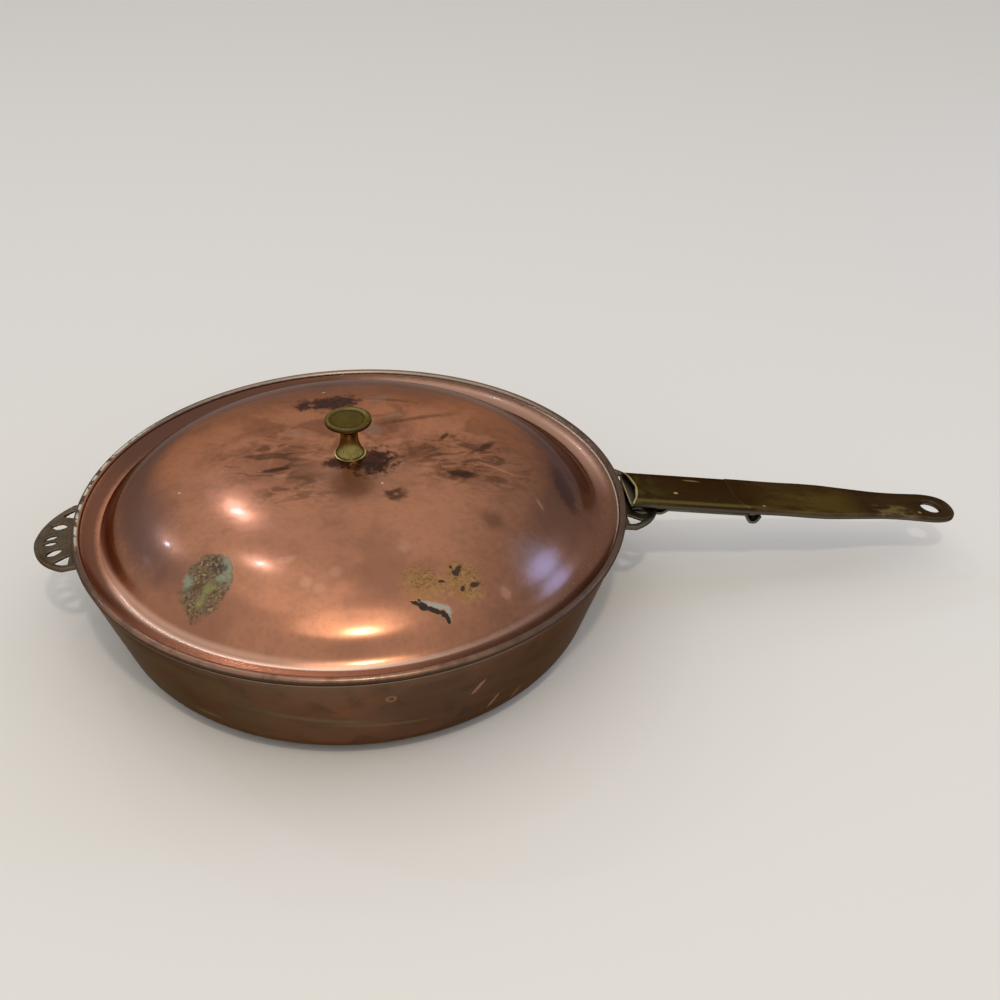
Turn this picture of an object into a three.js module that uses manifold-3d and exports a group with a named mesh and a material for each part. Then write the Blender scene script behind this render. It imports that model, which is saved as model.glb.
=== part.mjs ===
// Copper skillet with a loose domed lid, two pierced cast lugs and a slip-on brass handle.
// Millimetres, +Z up. The origin is the middle of the pan's flat base. The handle lies along +X.

import * as THREE from 'three';
import { mergeVertices } from 'three/addons/utils/BufferGeometryUtils.js';
import Module from 'manifold-3d';

// Clearances between neighbouring pieces
const seat_gap = 0.3;
const rivet_gap = 0.3;
const wire_gap = 0.25;

// Pan body, raised from one copper sheet
const pan_height = 66;
const pan_top_radius = 151.2;
const pan_flare = 21.8;
const pan_corner_radius = 23;
const pan_wall = 1.6;
const pan_lip_thickness = 2.2;
const pan_lip_height = 3.5;

// Lid, with its edge rolled round an iron wire
const lid_overhang = 1.3;
const lid_wall = 1.0;
const rim_wire_radius = 0.9;
const curl_sweep = 300;
const lid_shift_x = 0.5;
const trough_depth = 3.8;
const trough_inset = 14;
const dome_inset = 19.4;
const dome_foot_rise = 1.3;
const dome_crown_height = 31.4;
const dome_fullness = 3.2;
const dome_shoulder = 0.69;
const dome_foot_blend = 6;
const dome_foot_pull = 1.6;
const crown_flat_radius = 10;

// Knob, a turned brass mushroom on a thin collar
const knob_radius = 12.6;
const knob_height = 23;
const knob_neck_radius = 4.8;
const knob_neck_height = 11.2;
const knob_foot_radius = 7.9;
const knob_disc_thickness = 3.2;
const knob_recess = 0.9;
const knob_recess_rim = 1.5;
const knob_edge_round = 0.8;
const knob_flare_inset = 2;
const knob_neck_curve = 2.2;
const knob_foot_edge = 0.8;
const knob_collar_radius = 8.8;
const knob_collar_thickness = 0.9;
const washer_edge = 0.3;
const knob_washer_radius = 8;
const knob_washer_thickness = 1.2;
const knob_shank_radius = 2.4;
const knob_shank_bite = 9;
const knob_shank_head_radius = 4.4;
const knob_shank_head_height = 1.8;

// Lugs, cast brass tabs with a raised border, pierced like a fan
const lug_droop = 9;
const lug_below_edge = 7.3;
const lug_stand_off = 4.8;
const lug_reach = 19.5;
const lug_half_width = 30.8;
const lug_shoulder = 0.6;
const lug_tip_pull = 0.93;
const lug_side_pull = 0.66;
const lug_plate = 1.6;
const lug_border_width = 2.6;
const lug_border_rise = 0.6;
const lug_border_depth = 0.3;
const lug_palm_thickness = 2.4;
const lug_palm_above = 3;
const lug_palm_below = 17;
const lug_palm_half_width = 27;
const lug_palm_corner = 9;
const inner_leaf = { x: 10.2, y: 2.8, length: 8.6, width: 3.6, slant: -6 };
const outer_leaf = { x: 6.8, y: 12.4, length: 10, width: 5.6, slant: 20 };
const wedge_inset = 2.2;
const wedge_near = 17.4;
const wedge_width = 9;
const wedge_length = 8.4;

// Rivets that hold a lug to the wall
const rivet_radius = 2.3;
const rivet_head_radius = 4.3;
const rivet_head_height = 2;
const rivet_flat_height = 0.9;
const rivets_per_lug = 3;
const rivet_spacing = 15;
const rivet_drop = 9.5;

// Strip that packs the handle's socket up from the lug
const liner_start = 1.5;
const liner_inset = 0.5;
const liner_width = 22;
const liner_thickness = 2.6;
const liner_corner = 2.7;

// Handle socket, a flattened brass tube with an open mouth over the lug
const socket_width = 32;
const socket_height = 4.6;
const socket_crown = 0.5;
const socket_side_round = 1.5;
const socket_wall = 1;
const socket_length = 62.5;
const mouth_cut = 4.6;
const seam_run_out = 9.5;
const seam_bend = 0.6;

// Handle grip, a cast brass bar whose tang fills the outer end of the socket
const grip_end = 205;
const grip_thickness = 4.4;
const grip_end_thickness = 3.6;
const grip_straight_place = 92;
const grip_straight_width = 31;
const grip_bulge_place = 117;
const grip_bulge_width = 32.8;
const grip_waist_place = 162;
const grip_waist_width = 23.6;
const grip_paddle_place = 187;
const grip_paddle_width = 26.6;
const paddle_end_pull = 0.35;
const paddle_side_pull = 0.62;
const grip_edge_round = 1.1;
const tang_length = 22;
const hanging_hole_radius = 6;
const hanging_hole_inset = 14.5;

// Spring strap under the handle, which grips the lug from below and ends in a folded finger catch
const strap_width = 20;
const strap_thickness = 1.6;
const strap_jaw_start = 2;
const strap_jaw_length = 18.5;
const strap_step_length = 3.5;
const strap_overrun = 10;
const strap_fold_depth = 6.9;
const strap_fold_length = 7;

// Rivets of the handle, headed below and hammered flush on top
const front_rivet_inset = 5;
const rear_rivet_inset = 8.5;
const handle_rivet_radius = 2;
const handle_rivet_head = 3.2;
const handle_rivet_head_height = 0.8;
const handle_rivet_sink = 1.2;
const handle_rivet_flush = 3;
const handle_rivet_dip = 0.1;

// Facet counts
const round_segments = 52;
const fine_segments = 104;
const curl_segments = 7;
const wire_segments = 6;
const knob_segments = 28;
const rivet_segments = 12;
const dome_steps = 7;
const flange_steps = 3;
const foot_steps = 3;
const corner_steps = 6;
const knob_steps = 6;
const hole_segments = 22;
const curve_segments = 8;
const leaf_segments = 4;
const edge_segments = 3;
const head_steps = 3;

// Values that follow from the ones above
const degree = Math.PI / 180;
const pan_foot_radius = pan_top_radius - pan_flare;
const wall_slope = pan_flare / pan_height;
const wall_lean = Math.atan(wall_slope);
const lid_radius = pan_top_radius + lid_overhang;
const bead_radius = rim_wire_radius + wire_gap + lid_wall;
const bead_level = pan_height + seat_gap + bead_radius;
const bead_ring_radius = lid_radius - bead_radius;
const trough_radius = lid_radius - trough_inset;
const trough_level = bead_level - trough_depth;
const dome_radius = lid_radius - dome_inset;
const crown_level = bead_level + dome_crown_height;
const lug_anchor_radius = pan_top_radius + lug_stand_off;
const lug_level = pan_height - lug_below_edge;
const lug_height = lug_border_rise + lug_plate + lug_border_depth;
const socket_low = liner_thickness + seat_gap;
const socket_high = socket_low + socket_height;
const liner_end = socket_length - liner_inset;
const strap_top = -seat_gap;
const strap_step_start = strap_jaw_start + strap_jaw_length;
const strap_step_end = strap_step_start + strap_step_length;
const strap_fold_start = socket_length + strap_overrun;
const front_rivet_place = strap_step_end + front_rivet_inset;
const rear_rivet_place = socket_length - rear_rivet_inset;
const tall = 2 * pan_height;

const wasm = await Module();
wasm.setup();

const finishes = {
  copper_body: { color: 0x8f5e45, roughness: 0.42, metalness: 1 },
  copper_lid: { color: 0xb06b4c, roughness: 0.3, metalness: 1 },
  iron_wire: { color: 0x6b6660, roughness: 0.6, metalness: 1 },
  brass_lug: { color: 0x8a7a55, roughness: 0.45, metalness: 1 },
  brass_knob: { color: 0xa08a4a, roughness: 0.35, metalness: 1 },
  brass_handle: { color: 0x5e4a2c, roughness: 0.5, metalness: 1 },
  copper_rivet: { color: 0x96624a, roughness: 0.45, metalness: 1 },
  strap_metal: { color: 0x5c6258, roughness: 0.5, metalness: 1 },
};

function finish(name) {
  return new THREE.MeshStandardMaterial(finishes[name]);
}

// Outer radius of the pan's straight wall at a height above the base
function wall_radius(height) {
  return pan_foot_radius + wall_slope * height;
}

// Keeps positions only, merges shared corners and turns the faces outwards
function closed(geometry) {
  const bare = new THREE.BufferGeometry();
  bare.setAttribute('position', geometry.getAttribute('position'));
  const count = geometry.getAttribute('position').count;
  const plain_index = Array.from({ length: count }, (_, i) => i);
  bare.setIndex(geometry.index ? Array.from(geometry.index.array) : plain_index);
  const merged = mergeVertices(bare, 1e-4);
  const corners = merged.getAttribute('position');
  const index = merged.index.array;
  const kept = [];
  const a = new THREE.Vector3();
  const b = new THREE.Vector3();
  const c = new THREE.Vector3();
  let volume = 0;
  for (let i = 0; i < index.length; i += 3) {
    const [p, q, r] = [index[i], index[i + 1], index[i + 2]];
    if (p === q || q === r || r === p) continue;
    kept.push(p, q, r);
    a.fromBufferAttribute(corners, p);
    b.fromBufferAttribute(corners, q);
    c.fromBufferAttribute(corners, r);
    volume += a.dot(b.cross(c));
  }
  merged.setIndex(volume < 0 ? kept.reverse() : kept);
  return merged;
}

function to_solid(geometry) {
  const clean = closed(geometry);
  const vertProperties = new Float32Array(clean.getAttribute('position').array);
  const triVerts = new Uint32Array(clean.index.array);
  return new wasm.Manifold(new wasm.Mesh({ numProp: 3, vertProperties, triVerts }));
}

function to_geometry(solid) {
  const mesh = solid.getMesh();
  const geometry = new THREE.BufferGeometry();
  geometry.setAttribute('position', new THREE.BufferAttribute(mesh.vertProperties, 3));
  geometry.setIndex(Array.from(mesh.triVerts));
  return geometry;
}

// Turns a profile of [radius, height] pairs round the Z axis
function revolve(profile, segments) {
  const points = profile.map(([radius, height]) => new THREE.Vector2(radius, height));
  return new THREE.LatheGeometry(points, segments).rotateX(Math.PI / 2);
}

// A flat outline in X and Y, raised from one height to another
function raise(shape, low, high, options = {}) {
  const depth = high - low;
  const settings = { depth, bevelEnabled: false, curveSegments: curve_segments, ...options };
  return new THREE.ExtrudeGeometry(shape, settings).translate(0, 0, low);
}

// An outline in Y and Z, drawn out along X
function draw_along_x(shape, start, end) {
  const settings = { depth: end - start, bevelEnabled: false, curveSegments: edge_segments };
  const geometry = new THREE.ExtrudeGeometry(shape, settings);
  const turn = new THREE.Matrix4().set(0, 0, 1, start, 1, 0, 0, 0, 0, 1, 0, 0, 0, 0, 0, 1);
  return geometry.applyMatrix4(turn);
}

// An outline in X and Z, drawn out to both sides of the XZ plane
function draw_across(shape, width) {
  const settings = { depth: width, bevelEnabled: false };
  return new THREE.ExtrudeGeometry(shape, settings).translate(0, 0, -width / 2).rotateX(Math.PI / 2);
}

function cylinder(radius, low, high, segments) {
  const geometry = new THREE.CylinderGeometry(radius, radius, high - low, segments);
  return geometry.rotateX(Math.PI / 2).translate(0, 0, (low + high) / 2);
}

function part(name, geometry, finish_name) {
  const mesh = new THREE.Mesh(closed(geometry), finish(finish_name));
  mesh.name = name;
  return mesh;
}

// Places of the rivets of one lug: the angle round the pan and the height on the wall
function rivet_places() {
  const height = lug_level - rivet_drop;
  const pitch = rivet_spacing / wall_radius(height);
  return Array.from({ length: rivets_per_lug }, (_, i) => {
    return { angle: (i - (rivets_per_lug - 1) / 2) * pitch, height };
  });
}

// Stands a solid made along +Z on the wall, square to it, at one rivet's place
function rivet_frame({ angle, height }, side) {
  const frame = new THREE.Matrix4().makeRotationZ(angle + side);
  frame.multiply(new THREE.Matrix4().makeTranslation(wall_radius(height), 0, height));
  frame.multiply(new THREE.Matrix4().makeRotationY(Math.PI / 2 + wall_lean));
  return frame;
}

// Hole for one lug rivet, through the palm and the pan's wall
function rivet_hole(place, side) {
  const reach = pan_wall + lug_palm_thickness + 2 * rivet_head_height;
  const hole = cylinder(rivet_radius + rivet_gap, -reach, reach, rivet_segments);
  return to_solid(hole.applyMatrix4(rivet_frame(place, side)));
}

// Pan body in section: flat base, round corner, leaning wall and a thicker edge
function pan_profile() {
  const lean = Math.PI / 2 - wall_lean;
  const corner_centre = pan_foot_radius - pan_corner_radius * Math.tan(lean / 2);
  const inner_radius = pan_corner_radius - pan_wall;
  const outer = [[0, 0]];
  const inner = [[0, pan_wall]];
  for (let i = 0; i <= corner_steps; i += 1) {
    const turn = (lean * i) / corner_steps;
    const [across, up] = [Math.sin(turn), Math.cos(turn)];
    outer.push([corner_centre + pan_corner_radius * across, pan_corner_radius * (1 - up)]);
    inner.push([corner_centre + inner_radius * across, pan_corner_radius - inner_radius * up]);
  }
  const inside = (thickness, height) => wall_radius(height) - thickness / Math.cos(wall_lean);
  const lip_start = pan_height - pan_lip_height;
  const lip_full = pan_height - pan_lip_thickness;
  outer.push([pan_top_radius, pan_height]);
  inner.push([inside(pan_wall, lip_start), lip_start]);
  inner.push([inside(pan_lip_thickness, lip_full), lip_full]);
  inner.push([inside(pan_lip_thickness, pan_height), pan_height]);
  return [...outer, ...inner.reverse()];
}

function pan_body() {
  let solid = to_solid(revolve(pan_profile(), round_segments));
  for (const side of [0, Math.PI]) {
    for (const place of rivet_places()) {
      solid = solid.subtract(rivet_hole(place, side));
    }
  }
  return part('pan_body', to_geometry(solid), 'copper_body');
}

// A domed head from its crown out to its seat; a negative height makes it hang
function domed_head(radius, seat, height) {
  return Array.from({ length: head_steps + 1 }, (_, i) => {
    const turn = (Math.PI / 2) * (1 - i / head_steps);
    return [radius * Math.cos(turn), seat + height * Math.sin(turn)];
  });
}

// A domed head outside, a shank through palm and wall, and a flatter head inside
function lug_rivet(name, place, side) {
  const under_head = seat_gap + lug_palm_thickness + rivet_gap;
  const inside = -pan_wall - rivet_gap;
  const profile = [
    ...domed_head(rivet_head_radius, under_head, rivet_head_height),
    [rivet_radius, under_head],
    [rivet_radius, inside],
    ...domed_head(rivet_head_radius, inside, -rivet_flat_height).reverse(),
  ];
  const mesh = part(name, revolve(profile, rivet_segments), 'copper_rivet');
  mesh.applyMatrix4(rivet_frame(place, side));
  return mesh;
}

// Tab outline seen from above, in the lug's own frame, drawn in from its edge by an inset
function lug_outline(inset) {
  const root = wall_radius(lug_level) - lug_anchor_radius - lug_palm_thickness - lug_height;
  const half = lug_half_width - inset;
  const tip = lug_reach - inset;
  const shape = new THREE.Shape();
  shape.moveTo(root, -half);
  shape.lineTo(lug_shoulder, -half);
  shape.quadraticCurveTo(tip * lug_tip_pull, -half * lug_side_pull, tip, 0);
  shape.quadraticCurveTo(tip * lug_tip_pull, half * lug_side_pull, lug_shoulder, half);
  shape.lineTo(root, half);
  shape.closePath();
  return shape;
}

function through_lug(shape) {
  return raise(shape, -2 * lug_height, lug_height, { curveSegments: leaf_segments });
}

// A pointed leaf hole, whose outer end leans away from the middle of the lug by its slant
function leaf_hole(leaf, side) {
  const end = leaf.length / 2;
  const shape = new THREE.Shape();
  shape.moveTo(-end, 0);
  shape.quadraticCurveTo(0, -leaf.width, end, 0);
  shape.quadraticCurveTo(0, leaf.width, -end, 0);
  const hole = through_lug(shape).rotateZ(side * leaf.slant * degree);
  return to_solid(hole.translate(leaf.x, side * leaf.y, 0));
}

// A three-cornered hole beside the wall, rounded on its outer side
function wedge_hole(side) {
  const palm_face = wall_radius(lug_level) + seat_gap + lug_palm_thickness;
  const start = palm_face - lug_anchor_radius + wedge_inset;
  const near = side * wedge_near;
  const far = side * (wedge_near + wedge_width);
  const point = [start + wedge_length, (near + far) / 2];
  const shape = new THREE.Shape();
  shape.moveTo(start, near);
  shape.lineTo(...point);
  shape.quadraticCurveTo((start + point[0]) / 2, far, start, far);
  shape.closePath();
  return to_solid(through_lug(shape));
}

// Frame of a lug's tab: X outwards and down by the droop, Z square to the tab's top
function lug_frame() {
  const frame = new THREE.Matrix4().makeTranslation(lug_anchor_radius, 0, lug_level);
  return frame.multiply(new THREE.Matrix4().makeRotationY(lug_droop * degree));
}

// The palm, a curved plate that follows the wall below and above the tab
function lug_palm() {
  const low = lug_level - lug_palm_below;
  const high = lug_level + lug_palm_above;
  const inner = (height) => wall_radius(height) + seat_gap / Math.cos(wall_lean);
  const outer = (height) => inner(height) + lug_palm_thickness / Math.cos(wall_lean);
  const ring = [
    [inner(low), low],
    [outer(low), low],
    [outer(high), high],
    [inner(high), high],
    [inner(low), low],
  ];
  const half = lug_palm_half_width;
  const corner = lug_palm_corner;
  const above = high + lug_palm_above;
  const face = new THREE.Shape();
  face.moveTo(-half, above);
  face.lineTo(-half, low + corner);
  face.quadraticCurveTo(-half, low, -half + corner, low);
  face.lineTo(half - corner, low);
  face.quadraticCurveTo(half, low, half, low + corner);
  face.lineTo(half, above);
  face.closePath();
  const stretch = draw_along_x(face, 0, lug_anchor_radius + lug_reach);
  return to_solid(revolve(ring, fine_segments)).intersect(to_solid(stretch));
}

// Space that the pan's wall fills, grown by the seat gap
function wall_space() {
  const grown = seat_gap / Math.cos(wall_lean);
  const profile = [
    [0, 0],
    [wall_radius(0) + grown, 0],
    [wall_radius(tall) + grown, tall],
    [0, tall],
  ];
  return to_solid(revolve(profile, fine_segments));
}

// Tab with a raised border and its piercings, joined to the palm and drilled for its rivets
function lug_geometry() {
  const plate_top = -lug_border_rise;
  const rim = to_solid(raise(lug_outline(0), -lug_height, 0));
  const inside_rim = to_solid(raise(lug_outline(lug_border_width), -2 * lug_height, lug_height));
  const plate = to_solid(raise(lug_outline(lug_border_width / 2), plate_top - lug_plate, plate_top));
  let tab = rim.subtract(inside_rim).add(plate);
  for (const side of [-1, 1]) {
    tab = tab.subtract(leaf_hole(inner_leaf, side));
    tab = tab.subtract(leaf_hole(outer_leaf, side));
    tab = tab.subtract(wedge_hole(side));
  }
  const placed = to_solid(to_geometry(tab).applyMatrix4(lug_frame()));
  let lug = placed.subtract(wall_space()).add(lug_palm());
  for (const place of rivet_places()) {
    lug = lug.subtract(rivet_hole(place, 0));
  }
  return to_geometry(lug);
}

function lug(name, side) {
  const mesh = part(name, lug_geometry(), 'brass_lug');
  mesh.rotation.z = side;
  return mesh;
}

// Upper face of the lid as [radius, height] pairs, from the crown out to the rolled edge
function lid_top_line() {
  const foot_level = trough_level + dome_foot_rise;
  const rise = crown_level - foot_level;
  const blend_fall = Math.pow(dome_foot_blend / rise, 1 / dome_shoulder);
  const blend_share = Math.pow(1 - blend_fall, 1 / dome_fullness);
  const line = [];
  for (let i = 0; i <= dome_steps; i += 1) {
    const share = Math.sin((i / dome_steps) * Math.asin(blend_share));
    const radius = crown_flat_radius + (dome_radius - crown_flat_radius) * share;
    const fall = Math.pow(1 - Math.pow(share, dome_fullness), dome_shoulder);
    line.push([radius, foot_level + rise * fall]);
  }
  const start = new THREE.Vector2(...line[line.length - 1]);
  const pull = new THREE.Vector2(dome_radius + dome_foot_pull, foot_level);
  const end = new THREE.Vector2(trough_radius, trough_level);
  const foot = new THREE.QuadraticBezierCurve(start, pull, end).getPoints(foot_steps);
  line.push(...foot.slice(1, -1).map((point) => point.toArray()));
  const crease_radius = bead_ring_radius - bead_radius;
  for (let i = 0; i < flange_steps; i += 1) {
    const share = i / flange_steps;
    const radius = trough_radius + (crease_radius - trough_radius) * share;
    line.push([radius, trough_level + trough_depth * share * share]);
  }
  return line;
}

// A line moved along its own normal by a thickness, such as a sheet's lower face
function offset_line(line, thickness) {
  return line.map(([across, up], i) => {
    const before = line[Math.max(i - 1, 0)];
    const after = line[Math.min(i + 1, line.length - 1)];
    const run = after[0] - before[0];
    const rise = after[1] - before[1];
    const length = Math.hypot(run, rise);
    return [across + (rise / length) * thickness, up - (run / length) * thickness];
  });
}

function circle_point(radius, angle) {
  const turn = angle * degree;
  return [bead_ring_radius + radius * Math.cos(turn), bead_level + radius * Math.sin(turn)];
}

// Lid shell: dome, shallow trough and the edge rolled outwards, down and under round its wire
function lid_shell() {
  const top = lid_top_line();
  const hole = knob_shank_radius + rivet_gap;
  const upper = [[hole, crown_level], ...top];
  const lower = [[hole, crown_level - lid_wall], ...offset_line(top, lid_wall)];
  const curl_outside = [];
  const curl_inside = [];
  for (let i = 0; i <= curl_segments; i += 1) {
    const angle = 180 - (curl_sweep * i) / curl_segments;
    curl_outside.push(circle_point(bead_radius, angle));
    curl_inside.push(circle_point(bead_radius - lid_wall, angle));
  }
  const profile = [...upper, ...curl_outside, ...curl_inside.reverse(), ...lower.reverse()];
  profile.push(profile[0]);
  return part('lid_shell', revolve(profile, round_segments), 'copper_lid');
}

function lid_rim_wire() {
  const profile = [];
  for (let i = 0; i <= wire_segments; i += 1) {
    profile.push(circle_point(rim_wire_radius, (360 * i) / wire_segments));
  }
  return part('lid_rim_wire', revolve(profile, round_segments), 'iron_wire');
}

// Knob: a turned mushroom, recessed on top, bored from below for its shank
function knob() {
  const base = crown_level + knob_collar_thickness;
  const top = crown_level + knob_height;
  const disc_low = top - knob_disc_thickness;
  const disc_foot = knob_radius - knob_flare_inset;
  const neck = base + knob_neck_height;
  const profile = [
    [0, top - knob_recess],
    [knob_radius - knob_recess_rim - knob_recess, top - knob_recess],
    [knob_radius - knob_recess_rim, top],
    [knob_radius - knob_edge_round, top],
    [knob_radius, top - knob_edge_round],
    [knob_radius, disc_low + knob_edge_round],
    [knob_radius - knob_edge_round, disc_low],
  ];
  for (let i = 1; i <= knob_steps; i += 1) {
    const share = i / knob_steps;
    const flare = (disc_foot - knob_neck_radius) * Math.pow(1 - share, knob_neck_curve);
    profile.push([knob_neck_radius + flare, disc_low + (neck - disc_low) * share]);
  }
  for (let i = 1; i <= knob_steps; i += 1) {
    const share = i / knob_steps;
    const flare = (knob_foot_radius - knob_neck_radius) * Math.pow(share, knob_neck_curve);
    profile.push([knob_neck_radius + flare, neck + (base + knob_foot_edge - neck) * share]);
  }
  const bore = knob_shank_radius + rivet_gap;
  const bore_top = base + knob_shank_bite;
  profile.push([knob_foot_radius, base], [bore, base], [bore, bore_top], [0, bore_top]);
  return part('knob', revolve(profile, knob_segments), 'brass_knob');
}

// A flat ring round the knob's shank, with softened edges
function washer(name, radius, low, high, finish_name) {
  const hole = knob_shank_radius + rivet_gap;
  const profile = [
    [hole, low],
    [radius - washer_edge, low],
    [radius, low + washer_edge],
    [radius, high - washer_edge],
    [radius - washer_edge, high],
    [hole, high],
    [hole, low],
  ];
  return part(name, revolve(profile, knob_segments), finish_name);
}

function knob_collar() {
  const top = crown_level + knob_collar_thickness;
  return washer('knob_collar', knob_collar_radius, crown_level, top, 'brass_knob');
}

function knob_washer() {
  const top = crown_level - lid_wall;
  const low = top - knob_washer_thickness;
  return washer('knob_washer', knob_washer_radius, low, top, 'copper_rivet');
}

// Shank that is screwed into the knob and headed over under the washer
function knob_shank() {
  const washer_low = crown_level - lid_wall - knob_washer_thickness;
  const end = crown_level + knob_collar_thickness + knob_shank_bite - rivet_gap;
  const profile = [
    ...domed_head(knob_shank_head_radius, washer_low, -knob_shank_head_height),
    [knob_shank_radius, washer_low],
    [knob_shank_radius, end],
    [0, end],
  ];
  return part('knob_shank', revolve(profile, rivet_segments), 'copper_rivet');
}

// Cross-section of the socket: flat below, rounded sides, a slight crown, drawn in by an inset
function socket_section(inset) {
  const half = socket_width / 2 - inset;
  const low = socket_low + inset;
  const crown = socket_high - inset;
  const shoulder = crown - socket_crown;
  const round = Math.min(socket_side_round, (shoulder - low) / 2);
  const section = new THREE.Shape();
  section.moveTo(-half + round, low);
  section.lineTo(half - round, low);
  section.quadraticCurveTo(half, low, half, low + round);
  section.lineTo(half, shoulder - round);
  section.quadraticCurveTo(half, shoulder, half - round, shoulder);
  section.quadraticCurveTo(0, crown + socket_crown, -half + round, shoulder);
  section.quadraticCurveTo(-half, shoulder, -half, shoulder - round);
  section.lineTo(-half, low + round);
  section.quadraticCurveTo(-half, low, -half + round, low);
  return section;
}

// Everything beyond the socket's outer end, whose edge bends outwards at the near side
function beyond_seam(gap) {
  const half = socket_width / 2 + seat_gap;
  const start = socket_length + gap;
  const shape = new THREE.Shape();
  shape.moveTo(start + seam_run_out, -half);
  shape.quadraticCurveTo(start, -half * seam_bend, start, half);
  shape.lineTo(grip_end + half, half);
  shape.lineTo(grip_end + half, -half);
  shape.closePath();
  return to_solid(raise(shape, -tall, tall));
}

// Space cut from the socket's upper side so that its mouth opens in a shallow arc
function mouth_space() {
  const half = socket_width / 2;
  const lip = socket_wall / 2;
  const floor = socket_low + socket_wall + seat_gap;
  const shape = new THREE.Shape();
  shape.moveTo(-lip, -2 * half);
  shape.lineTo(lip, -2 * half);
  shape.lineTo(lip, -half);
  shape.quadraticCurveTo(2 * mouth_cut - lip, 0, lip, half);
  shape.lineTo(lip, 2 * half);
  shape.lineTo(-lip, 2 * half);
  shape.closePath();
  return to_solid(raise(shape, floor, tall));
}

// Hole through socket, tang, liner and strap for one handle rivet, sunk at the top
function handle_rivet_hole(place) {
  const sink_low = socket_high - handle_rivet_sink;
  const mouth = handle_rivet_flush + rivet_gap;
  const profile = [
    [0, -tall],
    [handle_rivet_radius + rivet_gap, -tall],
    [handle_rivet_radius + rivet_gap, sink_low],
    [mouth, socket_high],
    [mouth, tall],
    [0, tall],
  ];
  return to_solid(revolve(profile, rivet_segments).translate(place, 0, 0));
}

function handle_socket() {
  const outside = to_solid(draw_along_x(socket_section(0), 0, socket_length + seam_run_out));
  const inside = to_solid(draw_along_x(socket_section(socket_wall), -socket_wall, grip_end));
  let tube = outside.subtract(inside).subtract(mouth_space()).subtract(beyond_seam(0));
  for (const place of [front_rivet_place, rear_rivet_place]) {
    tube = tube.subtract(handle_rivet_hole(place));
  }
  return part('handle_socket', to_geometry(tube), 'brass_handle');
}

// Grip outline seen from above: straight, slight bulge, waist and rounded paddle
function grip_outline(inset) {
  const full = socket_width / 2 - inset;
  const straight = grip_straight_width / 2 - inset;
  const bulge = grip_bulge_width / 2 - inset;
  const waist = grip_waist_width / 2 - inset;
  const paddle = grip_paddle_width / 2 - inset;
  const end = grip_end - inset;
  const side = [
    [socket_length - seam_run_out, full],
    [socket_length + seam_run_out, full],
    [grip_straight_place, straight],
    [grip_bulge_place, bulge],
    [(grip_bulge_place + grip_waist_place) / 2, (bulge + waist) / 2],
    [grip_waist_place, waist],
    [grip_paddle_place, paddle],
  ];
  const upper = side.map(([x, y]) => new THREE.Vector2(x, y));
  const lower = side.map(([x, y]) => new THREE.Vector2(x, -y)).reverse();
  const shape = new THREE.Shape();
  shape.moveTo(upper[0].x, upper[0].y);
  shape.splineThru(upper.slice(1));
  const corner = [end - paddle * paddle_end_pull, paddle * paddle_side_pull];
  shape.bezierCurveTo(corner[0], paddle, end, corner[1], end, 0);
  shape.bezierCurveTo(end, -corner[1], corner[0], -paddle, grip_paddle_place, -paddle);
  shape.splineThru(lower.slice(1));
  shape.closePath();
  return shape;
}

// The bar's lower side rises towards its end, and a tang runs back into the socket
function handle_grip() {
  const round = grip_edge_round;
  const bevel = { bevelEnabled: true, bevelThickness: round, bevelSize: round };
  const high = socket_high - socket_crown / 2;
  const low = high - grip_thickness;
  const settings = { ...bevel, bevelSegments: edge_segments, curveSegments: leaf_segments };
  const bar = to_solid(raise(grip_outline(round), low + round, high - round, settings));
  const tang_start = socket_length - tang_length;
  const tang_section = socket_section(socket_wall + seat_gap);
  const tang = to_solid(draw_along_x(tang_section, tang_start, grip_straight_place));
  const taper = new THREE.Shape();
  taper.moveTo(grip_bulge_place, low - grip_thickness);
  taper.lineTo(grip_end + round, low - grip_thickness);
  taper.lineTo(grip_end + round, high - grip_end_thickness);
  taper.lineTo(grip_bulge_place, low);
  taper.closePath();
  const hole = cylinder(hanging_hole_radius, -tall, tall, hole_segments);
  let grip = bar.intersect(beyond_seam(seat_gap)).add(tang);
  grip = grip.subtract(to_solid(draw_across(taper, 2 * socket_width)));
  grip = grip.subtract(to_solid(hole.translate(grip_end - hanging_hole_inset, 0, 0)));
  grip = grip.subtract(handle_rivet_hole(rear_rivet_place));
  return part('handle_grip', to_geometry(grip), 'brass_handle');
}

// Strip between the socket and the lug, with rounded front corners
function handle_liner() {
  const half = liner_width / 2;
  const shape = new THREE.Shape();
  shape.moveTo(liner_end, -half);
  shape.lineTo(liner_end, half);
  shape.lineTo(liner_start + liner_corner, half);
  shape.quadraticCurveTo(liner_start, half, liner_start, half - liner_corner);
  shape.lineTo(liner_start, liner_corner - half);
  shape.quadraticCurveTo(liner_start, -half, liner_start + liner_corner, -half);
  shape.closePath();
  let liner = to_solid(raise(shape, 0, liner_thickness, { curveSegments: leaf_segments }));
  for (const place of [front_rivet_place, rear_rivet_place]) {
    liner = liner.subtract(handle_rivet_hole(place));
  }
  return part('handle_liner', to_geometry(liner), 'strap_metal');
}

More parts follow.
